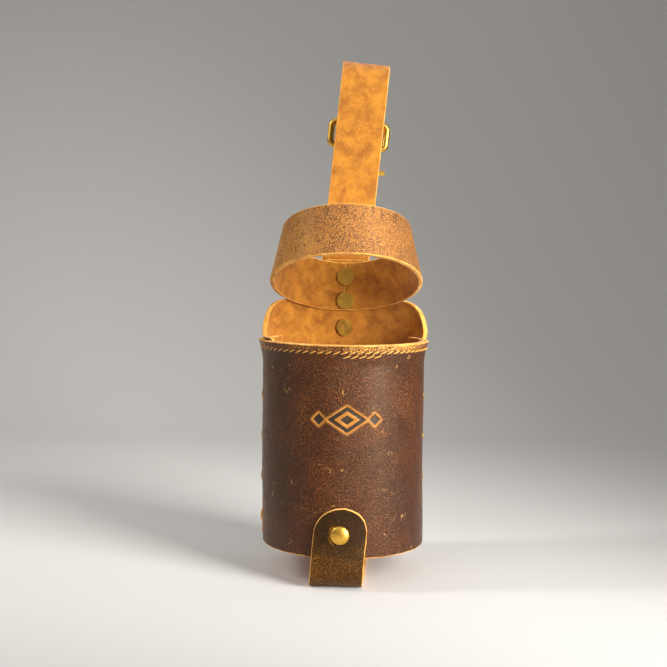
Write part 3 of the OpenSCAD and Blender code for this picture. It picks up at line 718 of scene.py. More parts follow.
@dataclass
class Hide:
    """A piece of leather, cut flat to an outline and bent into place.

    The flat pattern has u to the right and v up, as seen from the grain side, and the
    bend carries u, v and the height w above the middle of the leather to the frame.
    pitch is the size of its triangles, step that of its cut edge's sides, and ragged how
    far the knife wandered. round_off is the rounding of its edge, and stamp_reach how far
    its close points lie round a stamp.
    """

    name: str
    outline: Loop
    bend: Bend
    thickness: float = LEATHER
    pitch: float = 1.5
    step: float = 0.9
    round_off: float = 0.45
    round_angles: tuple[int, ...] = (30, 60, 90)
    ragged: float = 0.10
    pull: Callable[[float, float], float] = lambda u, v: 0.0
    stamp: list[Loop] = field(default_factory=list)
    stamp_depth: float = 0.35
    stamp_reach: float = 3.0
    stamp_pitch: float = 0.6
    stamp_step: float = 0.5
    sharp_angle: float = 48.0
    finishes: tuple[Finish, Finish, Finish] = (Finish.PANEL, Finish.FLESH, Finish.EDGE)

    def border(self) -> Loop:
        """Cuts the outline into short sides, a little ragged as real cuts are.

        Returns:
            The ragged loop.
        """
        loop = resample(self.outline, self.step)
        result = []
        for p, q in zip(loop, inset(loop, 1.0)):
            share = self.ragged * (ripple(*p, 3.1, 7.7) + 0.6 * ripple(*p, 1.1, 3.3))
            result.append((p[0] + (q[0] - p[0]) * share, p[1] + (q[1] - p[1]) * share))
        return result

    def flat_mesh(self, border: Loop) -> tuple[np.ndarray, list[tuple[int, ...]], list[int]]:
        """Fills a border with triangles of even size.

        Args:
            border: The loop that bounds the flat faces.

        Returns:
            The points, the triangles, and the border's place among the points.
        """
        array = np.array(border)
        low, high = array.min(0), array.max(0)
        # Rows of even triangles, every other row half a pitch further on.
        rows = np.arange(low[1], high[1], self.pitch * 0.87)
        points = np.array([(u, v) for i, v in enumerate(rows)
                           for u in np.arange(low[0] + (i % 2) * self.pitch / 2, high[0],
                                              self.pitch)])
        near, inside = distances(points, [border])
        points = points[inside & (near > self.pitch * 0.45)]
        loops = [border]
        if self.stamp:
            near, _ = distances(points, self.stamp)
            points = np.concatenate([points[near > self.stamp_reach], self.stamp_points()])
            for ring in self.stamp:
                loops += [resample(ring, self.stamp_step),
                          resample(inset(ring, STAMP_SLOPE), self.stamp_step)]
            near, _ = distances(points, loops[1:])
            points = points[near > 0.4 * self.stamp_step]
        verts = [Vector(p) for loop in loops for p in loop] + [Vector(p) for p in points]
        edges, start = [], 0
        for loop in loops:
            count = len(loop)
            edges += [(start + i, start + (i + 1) % count) for i in range(count)]
            start += count
        out, _, faces, origins, _, _ = delaunay_2d_cdt(verts, edges, [], 1, 1e-5)
        place = {source: i for i, sources in enumerate(origins) for source in sources}
        return np.array([tuple(p) for p in out]), faces, [place[i] for i in range(len(border))]

    def stamp_points(self) -> np.ndarray:
        """Spreads close points around the stamp, so that its wear has a clean edge.

        Returns:
            The points, one a row.
        """
        array = np.array([p for ring in self.stamp for p in ring])
        low, high = array.min(0) - self.stamp_reach, array.max(0) + self.stamp_reach
        points = np.array([(u, v) for v in np.arange(low[1], high[1], self.stamp_pitch)
                           for u in np.arange(low[0], high[0], self.stamp_pitch)])
        near, _ = distances(points, self.stamp)
        return points[near < self.stamp_reach]

    def flat_shell(self) -> FlatShell:
        """Makes the two faces and the rounded edge between them, still flat.

        Returns:
            The shell, with the grain side first.
        """
        border = self.border()
        inner = inset(border, self.round_off)
        flat, faces, rim = self.flat_mesh(inner)
        edge_mm, _ = distances(flat, [border])
        stamp_mm = np.full(len(flat), UNSTAMPED)
        if self.stamp:
            near, inside = distances(flat, self.stamp)
            stamp_mm = np.where(inside, near, -near)
        sink = self.stamp_depth * np.clip(stamp_mm / STAMP_SLOPE, 0, 1)
        half, count = self.thickness / 2, len(flat)
        shell = FlatShell()
        for w in (half - sink, np.full(count, -half)):
            shell.places += [(u, v, height) for (u, v), height in zip(flat, w)]
            shell.edges += list(edge_mm)
            shell.stamps += list(stamp_mm)
        shell.polygons += [(tuple(f), 0) for f in faces]
        shell.polygons += [(tuple(count + i for i in reversed(f)), 1) for f in faces]
        self.round_edge(shell, rim, [count + i for i in rim], list(zip(inner, border)))
        return shell

    def round_edge(self, shell: FlatShell, upper: list[int], lower: list[int],
                   pairs: list[tuple[Point, Point]]) -> None:
        """Rolls the cut edge from the grain side round to the flesh side.

        Args:
            shell: The shell, which gains the edge's points and faces.
            upper: The numbers of the grain side's border points.
            lower: The numbers of the flesh side's border points.
            pairs: Where the rounding begins and how far out it reaches, at each point.
        """
        half, count = self.thickness / 2, len(pairs)
        rings = [upper]
        for side, angles in ((1, self.round_angles), (-1, self.round_angles[::-1])):
            for angle in angles:
                share = math.sin(math.radians(angle))
                w = side * (half - self.round_off * (1 - math.cos(math.radians(angle))))
                first = len(shell.places)
                rings.append(list(range(first, first + count)))
                shell.places += [(p[0] + (q[0] - p[0]) * share, p[1] + (q[1] - p[1]) * share, w)
                                 for p, q in pairs]
                shell.edges += [0.0] * count
                shell.stamps += [UNSTAMPED] * count
        rings.append(lower)
        for above, below in zip(rings, rings[1:]):
            for i in range(count):
                j = (i + 1) % count
                shell.polygons.append(((above[i], below[i], below[j], above[j]), 2))

    def build(self) -> bpy.types.Object:
        """Builds the piece: two faces, and a rounded edge between them.

        Returns:
            The piece's object, at the origin, with its materials and attributes.
        """
        shell = self.flat_shell()
        mesh = bpy.data.meshes.new(self.name)
        mesh.from_pydata([self.bend(*p) * MM for p in shell.places], [],
                         [points for points, _ in shell.polygons])
        mesh.polygons.foreach_set("material_index", [m for _, m in shell.polygons])
        mesh.polygons.foreach_set("use_smooth", [True] * len(shell.polygons))
        for finish in self.finishes:
            mesh.materials.append(WORKSHOP.material(finish))
        hide = mesh.attributes.new("hide", "FLOAT_VECTOR", "POINT")
        hide.data.foreach_set("vector", (np.array(shell.places) * MM).astype(np.float32).ravel())
        for name, values in (("pull", [self.pull(u, v) for u, v, _ in shell.places]),
                             ("edge", shell.edges), ("stamp", shell.stamps)):
            mesh.attributes.new(name, "FLOAT", "POINT").data.foreach_set("value", values)
        mesh.validate()
        mesh.set_sharp_from_angle(angle=math.radians(self.sharp_angle))
        piece = bpy.data.objects.new(self.name, mesh)
        bpy.context.scene.collection.objects.link(piece)
        log.info("%s: %d triangles or quads", self.name, len(mesh.polygons))
        return piece


def dress(piece: bpy.types.Object, body: str, slot: str, *nodes: str) -> bpy.types.Object:
    """Lets a piece ride on a body and stand for its CAD nodes.

    Args:
        piece: The piece.
        body: The body that carries it.
        slot: The record's slot for its material. It is not used.
        *nodes: The CAD nodes that it replaces.

    Returns:
        The same piece.
    """
    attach(piece, body)
    if nodes:
        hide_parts(*nodes)
    return piece


@dataclass
class Sleeve:
    """The sleeve: a front panel with a sewn rim, and a back panel riveted over its sides.

    reach is how far round the front panel goes, and the seams are where the back panel's
    edges lie on it. The lining stands high_extra higher to the left of high_end. The stamp's
    sizes are those of its middle and its side lozenges, and stamp_rings are its middle's
    loops. The worn front slumps to the left by slump_x, less over the last slump_fade
    degrees and over the lowest slump_rise. The shoulders lean out beside lean_from_u and
    above lean_from_z, each over the length that follows it.
    """

    mid_r: float = SLEEVE_R - LEATHER / 2
    reach: float = 121.5
    lining: float = 1.6
    lining_gap: float = LAYER_GAP
    high_end: float = -62.0
    high_slope: float = 1.5
    high_extra: float = 1.3
    seam_left: float = -103.5
    seam_right: float = 108.5
    shoulder_z: float = 135.0
    shoulder_r: float = 20.0
    tab_top: float = 156.0
    tab_corner: float = 4.0
    tab_fillet: float = 2.5
    stamp_x: float = 1.6
    stamp_z: float = 81.4
    stamp_w: float = 19.0
    stamp_h: float = 13.0
    stamp_side: float = 6.0
    stamp_gap: float = 0.7
    stamp_rings: tuple[float, ...] = (1.0, 0.6, 0.38)
    slump_x: float = 0.85
    slump_reach: float = 104.0
    slump_fade: float = 12.0
    slump_rise: float = 40.0
    shoulder_lean_left: float = 1.0
    shoulder_lean_right: float = 2.0
    lean_from_u: float = 26.0
    lean_over_u: float = 22.0
    lean_from_z: float = 111.0
    lean_over_z: float = 10.0

    @property
    def lining_mid(self) -> float:
        """The radius of the middle of the rim's lining."""
        return SLEEVE_R - LEATHER - self.lining_gap - self.lining / 2

    @property
    def back_mid(self) -> float:
        """The radius of the middle of the back panel."""
        return BACK_R - LEATHER / 2

    def lean(self, azimuth: float, z: float) -> float:
        """Leans the rim out, between the ends of its lining.

        Args:
            azimuth: Round from the front.
            z: Height above the floor.

        Returns:
            How far out it leans there.
        """
        reach = ease((RIM_REACH + RIM_RAMP - abs(azimuth)) / RIM_RAMP)
        t = clamp((z - SLEEVE_TOP + RIM_H) / RIM_H, 0.0, 1.3)
        return RIM_FLARE * reach * t * (0.55 + 0.45 * t)

    def slump(self, azimuth: float, z: float) -> Vector:
        """Slumps the worn front to the left, between the seams.

        Args:
            azimuth: Round from the front.
            z: Height above the floor.

        Returns:
            How far it has moved there.
        """
        share = (ease((self.slump_reach - abs(azimuth)) / self.slump_fade)
                 * ease((z - SLEEVE_Z) / self.slump_rise))
        return Vector((-self.slump_x * share, 0, 0))

    def front_bend(self, u: float, v: float, w: float) -> Vector:
        """Wraps the front panel round the front and under the back panel's edges.

        Args:
            u: Along the flat pattern.
            v: Up the flat pattern.
            w: Above the middle of the leather.

        Returns:
            The point in the part's frame.
        """
        azimuth = math.degrees(u / self.mid_r)
        wave = 0.16 * ripple(u, v, 26, 1.0) + 0.05 * ripple(u, v, 7, 2.0)
        radius = self.mid_r + w + wave + self.lean(azimuth, v)
        return around(azimuth, radius, v) + self.slump(azimuth, v)

    def lining_bend(self, u: float, v: float, w: float) -> Vector:
        """Wraps the rim's lining inside the front panel.

        Args:
            u: Along the flat pattern.
            v: Up the flat pattern.
            w: Above the middle of the leather.

        Returns:
            The point in the part's frame.
        """
        azimuth = math.degrees(u / self.lining_mid)
        radius = self.lining_mid + w + self.lean(azimuth, v)
        return around(azimuth, radius, v) + self.slump(azimuth, v)

    def back_bend(self, u: float, v: float, w: float) -> Vector:
        """Wraps the back panel round the sleeve's back, its shoulders leaning out.

        Args:
            u: Along the flat pattern.
            v: Up the flat pattern.
            w: Above the middle of the leather.

        Returns:
            The point in the part's frame.
        """
        wave = 0.05 * ripple(u, v, 24, 4.0)
        lean = self.shoulder_lean_left if u > 0 else self.shoulder_lean_right
        wave += (lean * ease((abs(u) - self.lean_from_u) / self.lean_over_u)
                 * ease((v - self.lean_from_z) / self.lean_over_z))
        return around(180 + math.degrees(u / self.back_mid), self.back_mid + w + wave, v)

    def lozenge(self, x: float, w: float, h: float) -> Loop:
        """Returns a lozenge of the stamp, anticlockwise from its right corner."""
        return [(x + w / 2, self.stamp_z), (x, self.stamp_z + h / 2),
                (x - w / 2, self.stamp_z), (x, self.stamp_z - h / 2)]

    def stamp_loops(self) -> list[Loop]:
        """Draws the stamp: a ringed lozenge between two small ones.

        Returns:
            The stamp's loops.
        """
        side = (self.stamp_w + self.stamp_side) / 2 + self.stamp_gap
        middle = [self.lozenge(self.stamp_x, share * self.stamp_w, share * self.stamp_h)
                  for share in self.stamp_rings]
        return middle + [self.lozenge(self.stamp_x + shift, self.stamp_side, self.stamp_side)
                         for shift in (-side, side)]

    def front_wear_and_painted_shade(self, u: float, v: float) -> float:
        """Wears the front panel, most along the rim, and paints shade on its left and right sides.

        Args:
            u: Along the flat pattern.
            v: Up the flat pattern.

        Returns:
            How far the wax has moved, from below 0 where it lies thick to 1 where it is gone, less
            where shade is painted at the sides.
        """
        # Above the stitches the front is rubbed golden from 4 mm left of the middle to
        # 44 mm right of it. Below them both sides are painted darker as shade, and it is a little
        # lighter near the outline.
        rim = ease((v - SLEEVE_TOP + 4.6) / 1.6)
        middle = ease((u + 4) / 10) * ease((44 - u) / 12)
        warm = math.exp(-((u + 9) / 15) ** 2)
        near_outline = ease((abs(u) - 47) / 12)
        # left and right paint shade on the two sides below the rim.
        left = ease((-u - 18) / 14)
        right = ease((u - 14) / 20)
        below = 0.03 * warm + 0.06 * near_outline - 0.14 * left - 0.16 * right - 0.26
        return rim * (0.12 + 0.50 * middle) + (1 - rim) * below

    def front_panel(self) -> bpy.types.Object:
        """Builds the front panel.

        Returns:
            The piece.
        """
        u = math.radians(self.reach) * self.mid_r
        outline = [(-u, SLEEVE_Z), (u, SLEEVE_Z), (u, SLEEVE_TOP), (-u, SLEEVE_TOP)]
        hide = Hide("sleeve_front", outline, self.front_bend, stamp=self.stamp_loops(),
                    ragged=0.18, pull=self.front_wear_and_painted_shade,
                    finishes=(Finish.FRONT, Finish.FLESH, Finish.EDGE))
        return dress(hide.build(), "carrier", "panel_leather", "front_panel")

    def rim_lining(self) -> bpy.types.Object:
        """Builds the strip inside the rim, whose left end stands a little high.

        Returns:
            The piece.
        """
        u = math.radians(RIM_REACH) * self.lining_mid
        step_u = math.radians(self.high_end) * self.lining_mid
        low, high = SLEEVE_TOP - RIM_H, SLEEVE_TOP + 0.1
        outline = [(-u, low), (u, low), (u, high), (step_u + self.high_slope, high),
                   (step_u, high + self.high_extra), (-u, high + self.high_extra)]
        hide = Hide("rim_strip", outline, self.lining_bend, thickness=self.lining, pitch=1.8,
                    round_off=0.3, finishes=(Finish.PANEL, Finish.FLESH, Finish.EDGE))
        return dress(hide.build(), "carrier", "flesh_leather", "rim_lining")

    def back_outline(self) -> Loop:
        """Draws the back panel flat, with its shoulders and its tab.

        Returns:
            The outline.
        """
        left = math.radians(self.seam_right - 180) * self.back_mid
        right = math.radians(180 + self.seam_left) * self.back_mid
        tab = self.back_mid * math.asin(STRAP_W / 2 / self.back_mid)
        z, r, c, fillet = self.shoulder_z, self.shoulder_r, self.tab_corner, self.tab_fillet
        return ([(left, SLEEVE_Z), (right, SLEEVE_Z)]
                + corner((right - r, z - r), r, 0, 90, 18)
                + corner((tab + fillet, z + fillet), fillet, 270, 180, 6)
                + corner((tab - c, self.tab_top - c), c, 0, 90, 8)
                + corner((-tab + c, self.tab_top - c), c, 90, 180, 8)
                + corner((-tab - fillet, z + fillet), fillet, 0, -90, 6)
                + corner((left + r, z - r), r, 90, 180, 18))

    def back_panel(self) -> bpy.types.Object:
        """Builds the back panel.

        Returns:
            The piece.
        """
        # The wax has moved a little where the shoulders and the tab flex.
        hide = Hide("sleeve_back", self.back_outline(), self.back_bend,
                    pull=lambda u, v: 0.3 * ease((v - 112) / 14))
        return dress(hide.build(), "carrier", "panel_leather", "back_panel")

    def build(self) -> None:
        """Builds the sleeve's pieces."""
        self.front_panel()
        self.rim_lining()
        self.back_panel()


@dataclass
class NeckBand:
    """The tilted band above the sleeve, riveted inside the tab.

    Its middle line rises from back_z to front_z, side_lift higher at the sides than on a
    straight slope. It leans back by lean_angle in front and stands upright at the back.
    """

    front_z: float = 170.9
    back_z: float = 141.7
    side_lift: float = 2.0
    front_r: float = 32.2
    back_r: float = 39.0
    lean_angle: float = 21.0
    lean_power: float = 1.4
    turns: list[float] = field(default_factory=list)
    lengths: list[float] = field(default_factory=list)

    def __post_init__(self) -> None:
        """Measures the band's middle line, so that the flat strap has its real length."""
        self.turns = [-180 + i * 0.5 for i in range(721)]
        self.lengths = [0.0]
        for a, b in zip(self.turns, self.turns[1:]):
            self.lengths.append(self.lengths[-1] + (self.middle(b) - self.middle(a)).length)

    def middle(self, azimuth: float) -> Vector:
        """Follows the band's middle line.

        Args:
            azimuth: Round from the front.

        Returns:
            The point of the line there.
        """
        # The band is round in front, and its radius grows towards the back.
        cosine = math.cos(math.radians(azimuth))
        share = ((1 - cosine) / 2) ** 2
        height = ((self.front_z + self.back_z) / 2 + self.side_lift
                  + (self.front_z - self.back_z) / 2 * cosine
                  - self.side_lift * (1 + math.cos(math.radians(2 * azimuth))) / 2)
        return around(azimuth, self.front_r + (self.back_r - self.front_r) * share, height)

    def bend(self, u: float, v: float, w: float) -> Vector:
        """Curls the flat strap into the tilted band.

        Args:
            u: Along the flat pattern.
            v: Up the flat pattern.
            w: Above the middle of the leather.

        Returns:
            The point in the part's frame.
        """
        half = self.lengths[-1] / 2
        azimuth = float(np.interp(u + half, self.lengths, self.turns))
        lean = math.radians(self.lean_angle
                            * max(0.0, math.cos(math.radians(azimuth / 2))) ** self.lean_power)
        a = math.radians(azimuth)
        outward = Vector((math.sin(a) * math.cos(lean), -math.cos(a) * math.cos(lean),
                          math.sin(lean)))
        along = (self.middle(azimuth + 1) - self.middle(azimuth - 1)).normalized()
        across = outward.cross(along).normalized()
        face = along.cross(across)
        wave = 0.12 * ripple(u, v, 22, 5.0)
        return self.middle(azimuth) + across * v + face * (w + wave)

    def pull(self, u: float, v: float) -> float:
        """Wears the band in one patch in front, and paints a sheen on its left and shade on its
        right.

        Args:
            u: Along the flat pattern.
            v: Up the flat pattern.

        Returns:
            How far the wax has moved, from below 0 where it lies thick to 1 where it is gone, with
            the painted sheen and shade added.
        """
        # The left third is painted pale, a painted sheen, and the right is painted darker, a
        # painted shade.
        # A golden patch 14 mm wide lies in front, and short dark streaks run down from the upper
        # edge.
        # dark holds the painted shade on the right; where it is low, the left shows the painted
        # sheen.
        dark = 0.52 * ease((u + 32) / 34) + 0.03 * ease((-u - 62) / 30)
        golden = 0.12 * math.exp(-((u + 2) / 7) ** 2)
        streak = 0.8 * ease((v - 2) / 8) * max(0.0, ripple(u, 0.3 * v, 2.2, 9.0))
        return 0.37 - dark + golden - 0.07 * ease((u - 8) / 20) - streak

    def build(self) -> None:
        """Builds the band, and hides the CAD nodes that it stands for."""
        half, gap = self.lengths[-1] / 2, 0.08
        w = STRAP_W / 2
        outline = [(-half + gap, -w), (half - gap, -w), (half - gap, w), (-half + gap, w)]
        hide = Hide("neck_band_strap", outline, self.bend, ragged=0.14, pull=self.pull,
                    finishes=(Finish.BAND, Finish.FLESH, Finish.EDGE))
        piece = hide.build()
        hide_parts("neck_band", "band_root")
        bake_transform(piece)


@dataclass
class BaseStrap:
    """The strap under the base, riveted at the front and at the back.

    flat_z is how high its legs reach before they follow the sleeve, and tilt is how far
    the tongue leans out of true.
    """

    end_z: float = 39.7
    bend_r: float = 10.0
    flat_z: float = 21.0
    tilt: float = 4.5

    def stretches(self) -> list[float]:
        """Measures the strap from its rear end.

        Returns:
            The lengths at which each leg, each turn and the run under the base end.
        """
        straight = self.end_z - LEATHER / 2 - self.bend_r
        turn = self.bend_r * math.pi / 2
        floor = STRAP_FRONT_Y + STRAP_BACK_Y - 2 * self.bend_r
        return list(np.cumsum([straight, turn, floor, turn, straight]))

    def bend(self, u: float, v: float, w: float) -> Vector:
        """Bends the flat strap down the back, under the base and up the front.

        Args:
            u: Along the flat pattern.
            v: Up the flat pattern.
            w: Above the middle of the leather.

        Returns:
            The point in the part's frame.
        """
        down, round_back, under, round_front, _ = self.stretches()
        radius, low = self.bend_r, LEATHER / 2 + self.bend_r
        if v < down:
            y, z, normal, leg = STRAP_BACK_Y, low + down - v, Vector((0, 1, 0)), STRAP_BACK_Y
        elif v < round_back:
            a = (v - down) / radius
            y = STRAP_BACK_Y - radius + radius * math.cos(a)
            z, normal, leg = low - radius * math.sin(a), Vector((0, math.cos(a), -math.sin(a))), 0
        elif v < under:
            y, z = STRAP_BACK_Y - radius - (v - round_back), low - radius
            normal, leg = Vector((0, 0, -1)), 0
        elif v < round_front:
            a = (v - under) / radius
            y = -STRAP_FRONT_Y + radius - radius * math.sin(a)
            z, normal, leg = low - radius * math.cos(a), Vector((0, -math.sin(a), -math.cos(a))), 0
        else:
            y, z, leg = -STRAP_FRONT_Y, low + v - round_front, STRAP_FRONT_Y
            normal = Vector((0, -1, 0))
        # The legs follow the sleeve's round walls, and flatten towards the base.
        sag = 0.0
        if leg or z > LEATHER:
            wall = leg or (STRAP_BACK_Y if y > 0 else STRAP_FRONT_Y)
            sag = ease((z - LEATHER / 2) / self.flat_z) * (wall - math.sqrt(wall * wall - u * u))
        # The tongue tilts about its rivet, and under the base the strap runs back straight.
        shift = math.tan(math.radians(self.tilt)) * (z - STRAP_RIVET_Z)
        if y > -STRAP_FRONT_Y + radius:
            shift *= clamp((STRAP_BACK_Y - y) / (STRAP_FRONT_Y + STRAP_BACK_Y)) if z < 12 else 0.0
        point = Vector((u + shift, y, z)) + normal * (w - sag)
        return Matrix.Rotation(math.radians(STRAP_TURN), 3, "Z") @ point

    def pull(self, u: float, v: float) -> float:
        """Wears the strap, most where it turns under the base.

        Args:
            u: Along the flat pattern.
            v: Up the flat pattern.

        Returns:
            How far the wax has moved, from below 0 where it lies thick to 1 where it is gone.
        """
        down, _, _, round_front, _ = self.stretches()
        # The tongue stays dark above a slanted line 6.5 mm over the bend. A worn crescent lies
        # to the left of its rivet, where the setter slipped.
        rivet_v = round_front + STRAP_RIVET_Z - LEATHER / 2 - self.bend_r
        line = round_front + 6.5 - 0.12 * u + 0.8 * ripple(u, v, 5, 6.0)
        low = ease((line - v) / 3.0)
        high = ease((v - down + 4) / 8)
        around_rivet = math.dist((u, v), (0.6, rivet_v))
        crescent = clamp(1 - abs(around_rivet - 5.6) / 0.9) * ease((-u - 1.5) / 3)
        dark = ease((v - round_front - 8) / 6)
        return 0.26 * low * high - 0.35 * dark - 0.16 + 1.8 * crescent * (v > round_front)

    def build(self) -> None:
        """Builds the strap."""
        total, w = self.stretches()[-1], STRAP_W / 2
        outline = (corner((0, w), w, 180, 360, 24) + corner((0, total - w), w, 0, 180, 24))
        hide = Hide("base_strap_leather", outline, self.bend, pull=self.pull, pitch=0.8, step=0.7,
                    ragged=0.16, round_off=0.3, finishes=(Finish.STRAP, Finish.FLESH, Finish.EDGE))
        dress(hide.build(), "carrier", "strap_leather", "base_strap")


@dataclass
class HangerStrap:
    """The strap up the back: riveted to the back panel, and folded round the eye.

    hinge is where it bends above the tab. From there it rises, turns over with top_r, drops
    to the eye's bar, folds round it with fold_r and runs back up as a tail. close is how
    soon the tail meets the strap, and turn how soon the strap flattens above the hinge.
    The root starts at root_z and follows a round of radius root_y. feel is how far to each
    side of a point the strap's direction is taken.
    """

    hinge: Vector = field(default_factory=lambda: Vector((0, 43.6, 157.8)))
    rise: float = 93.0
    top_r: float = 12.0
    drop: float = 18.0
    tail: float = 17.5
    rivet_margin: float = 4.7
    back_angle: float = 4.0
    side_angle: float = 5.5
    root_z: float = 113.3
    root_y: float = 44.2
    fold_r: float = 3.15
    close: float = 8.0
    turn: float = 9.0
    feel: float = 0.6
    path: list[Vector] = field(default_factory=list)
    lengths: list[float] = field(default_factory=list)

    def __post_init__(self) -> None:
        """Lays out the strap's middle line in the hinge's plane."""
        two_r, bar_z = 2 * self.top_r, self.rise - self.drop
        bar_y = two_r - self.fold_r
        tail_y = two_r - LEATHER - LAYER_GAP
        points = [Vector((0, self.root_z - self.hinge.z + i * 1.0))
                  for i in range(int(self.hinge.z - self.root_z))]
        points += [Vector((0, i * 1.0)) for i in range(int(self.rise))]
        points += [Vector((self.top_r * (1 - math.cos(a)), self.rise + self.top_r * math.sin(a)))
                   for a in (math.pi * i / 40 for i in range(41))]
        points += [Vector((two_r, self.rise - 1 - i)) for i in range(int(self.drop) - 1)]
        points += [Vector((bar_y + self.fold_r * math.cos(a), bar_z - self.fold_r * math.sin(a)))
                   for a in (math.pi * i / 24 for i in range(25))]
        points += [Vector((bar_y - self.fold_r + (tail_y - bar_y + self.fold_r) * ease(i / 10),
                           bar_z + self.close * i / 10)) for i in range(1, 11)]
        points.append(Vector((tail_y, bar_z + self.tail)))
        self.path = points
        self.lengths = [0.0]
        for a, b in zip(points, points[1:]):
            self.lengths.append(self.lengths[-1] + (b - a).length)

    def on_path(self, v: float) -> Vector:
        """Returns the middle line's point at a length from the root's end."""
        return Vector((float(np.interp(v, self.lengths, [p.x for p in self.path])),
                       float(np.interp(v, self.lengths, [p.y for p in self.path]))))

    def bend(self, u: float, v: float, w: float) -> Vector:
        """Bends the flat strap up the back, over the top and round the eye's bar.

        Args:
            u: Along the flat pattern.
            v: Up the flat pattern.
            w: Above the middle of the leather.

        Returns:
            The point in the part's frame.
        """
        total = self.lengths[-1]
        a, b = self.on_path(max(0.0, v - self.feel)), self.on_path(min(total, v + self.feel))
        ahead = (b - a).normalized()
        point = self.on_path(clamp(v, 0.0, total))
        # The ragged ends reach a little past the path.
        point.y += min(v, 0.0) + max(v - total, 0.0)
        normal = Vector((ahead.y, -ahead.x))
        share = ease((point.y + self.turn / 2) / self.turn) if point.x < 1 else 1.0
        sag = (1 - share) * (self.root_y - math.sqrt(self.root_y ** 2 - u * u))
        y = point.x + normal.x * (w - sag) + (1 - share) * (self.root_y - self.hinge.y)
        z = point.y + normal.y * (w - sag)
        turn = (Matrix.Rotation(math.radians(self.side_angle) * share, 3, "Y")
                @ Matrix.Rotation(math.radians(-self.back_angle) * share, 3, "X"))
        return self.hinge + turn @ Vector((-u, y, z))

    def pull(self, u: float, v: float) -> float:
        """Wears the strap, most over the top and round the bar.

        Args:
            u: Along the flat pattern.
            v: Up the flat pattern.

        Returns:
            How far the wax has moved, from below 0 where it lies thick to 1 where it is gone.
        """
        point = self.on_path(v)
        top = ease((point.y - self.rise + 4) / 8)
        hinge = 1 - clamp(abs(point.y) / 7) if point.x < 1 else 0.0
        return 0.5 * top + 0.35 * hinge

    def build(self) -> None:
        """Builds the strap, and hides the CAD nodes that it stands for."""
        total, w, r = self.lengths[-1], STRAP_W / 2, 4.0
        outline = (corner((-w + r, r), r, 180, 270, 8) + corner((w - r, r), r, 270, 360, 8)
                   + corner((w - r, total - r), r, 0, 90, 8)
                   + corner((-w + r, total - r), r, 90, 180, 8))
        hide = Hide("hanger_strap_leather", outline, self.bend, pull=self.pull, pitch=1.2, step=0.8,
                    finishes=(Finish.STRAP, Finish.FLESH, Finish.EDGE))
        piece = hide.build()
        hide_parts("hanger_root", "hanger_strap")
        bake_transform(piece)

    def place(self, x: float, y: float, z: float) -> Vector:
        """Carries a point of the hinge's frame to the part's frame.

        Args:
            x: To the right, as the strap is seen from the front.
            y: Towards the back.
            z: Up the strap.

        Returns:
            The point in the part's frame.
        """
        turn = (Matrix.Rotation(math.radians(self.side_angle), 3, "Y")
                @ Matrix.Rotation(math.radians(-self.back_angle), 3, "X"))
        return self.hinge + turn @ Vector((x, y, z))


def node_modifier(piece: bpy.types.Object, tree: bpy.types.NodeTree, values: dict) -> None:
    """Puts a node tree on a piece and sets its inputs by their identifiers.

    Args:
        piece: The piece.
        tree: The geometry tree.
        values: What each input gets, by its name.
    """
    modifier = piece.modifiers.new(tree.name, "NODES")
    modifier.node_group = tree
    for item in tree.interface.items_tree:
        if item.item_type == "SOCKET" and item.in_out == "INPUT" and item.name in values:
            modifier[item.identifier] = values[item.name]


def made_plain(piece: bpy.types.Object, name: str) -> bpy.types.Object:
    """Turns what a piece's modifiers make into a plain mesh and drops the modifiers.

    Args:
        piece: The object that carries the modifiers. It is removed.
        name: The plain piece's name.

    Returns:
        The plain piece.
    """
    graph = bpy.context.evaluated_depsgraph_get()
    mesh = bpy.data.meshes.new_from_object(piece.evaluated_get(graph), depsgraph=graph)
    mesh.name = name
    bpy.data.objects.remove(piece)
    result = bpy.data.objects.new(name, mesh)
    bpy.context.scene.collection.objects.link(result)
    log.info("%s: %d faces", name, len(mesh.polygons))
    return result


def seats(name: str, places: Sequence[Vector], facings: Sequence[Vector],
          runs: Sequence[Vector]) -> bpy.types.Object:
    """Makes loose points that carry the way each copy faces and runs.

    Args:
        name: The object's name.
        places: The points, in millimetres.
        facings: The outward way at each point.
        runs: The way along the surface at each point.

    Returns:
        The object with the points.
    """
    mesh = bpy.data.meshes.new(name)
    mesh.from_pydata([p * MM for p in places], [], [])
    for key, ways in (("facing", facings), ("run", runs)):
        data = mesh.attributes.new(key, "FLOAT_VECTOR", "POINT").data
        data.foreach_set("vector", [c for way in ways for c in way])
    result = bpy.data.objects.new(name, mesh)
    bpy.context.scene.collection.objects.link(result)
    return result


def new_tree(name: str, sockets: dict[str, tuple[str, object]]) -> bpy.types.NodeTree:
    """Makes a geometry tree with its named inputs and one geometry output.

    Args:
        name: The tree's name.
        sockets: The type and the default of each input after the seats.

    Returns:
        The empty tree.
    """
    tree = bpy.data.node_groups.new(name, "GeometryNodeTree")
    tree.interface.new_socket(name="Seats", in_out="INPUT", socket_type="NodeSocketGeometry")
    for label, (kind, default) in sockets.items():
        socket = tree.interface.new_socket(name=label, in_out="INPUT", socket_type=kind)
        if default is not None:
            socket.default_value = default
    tree.interface.new_socket(name="Pieces", in_out="OUTPUT", socket_type="NodeSocketGeometry")
    return tree


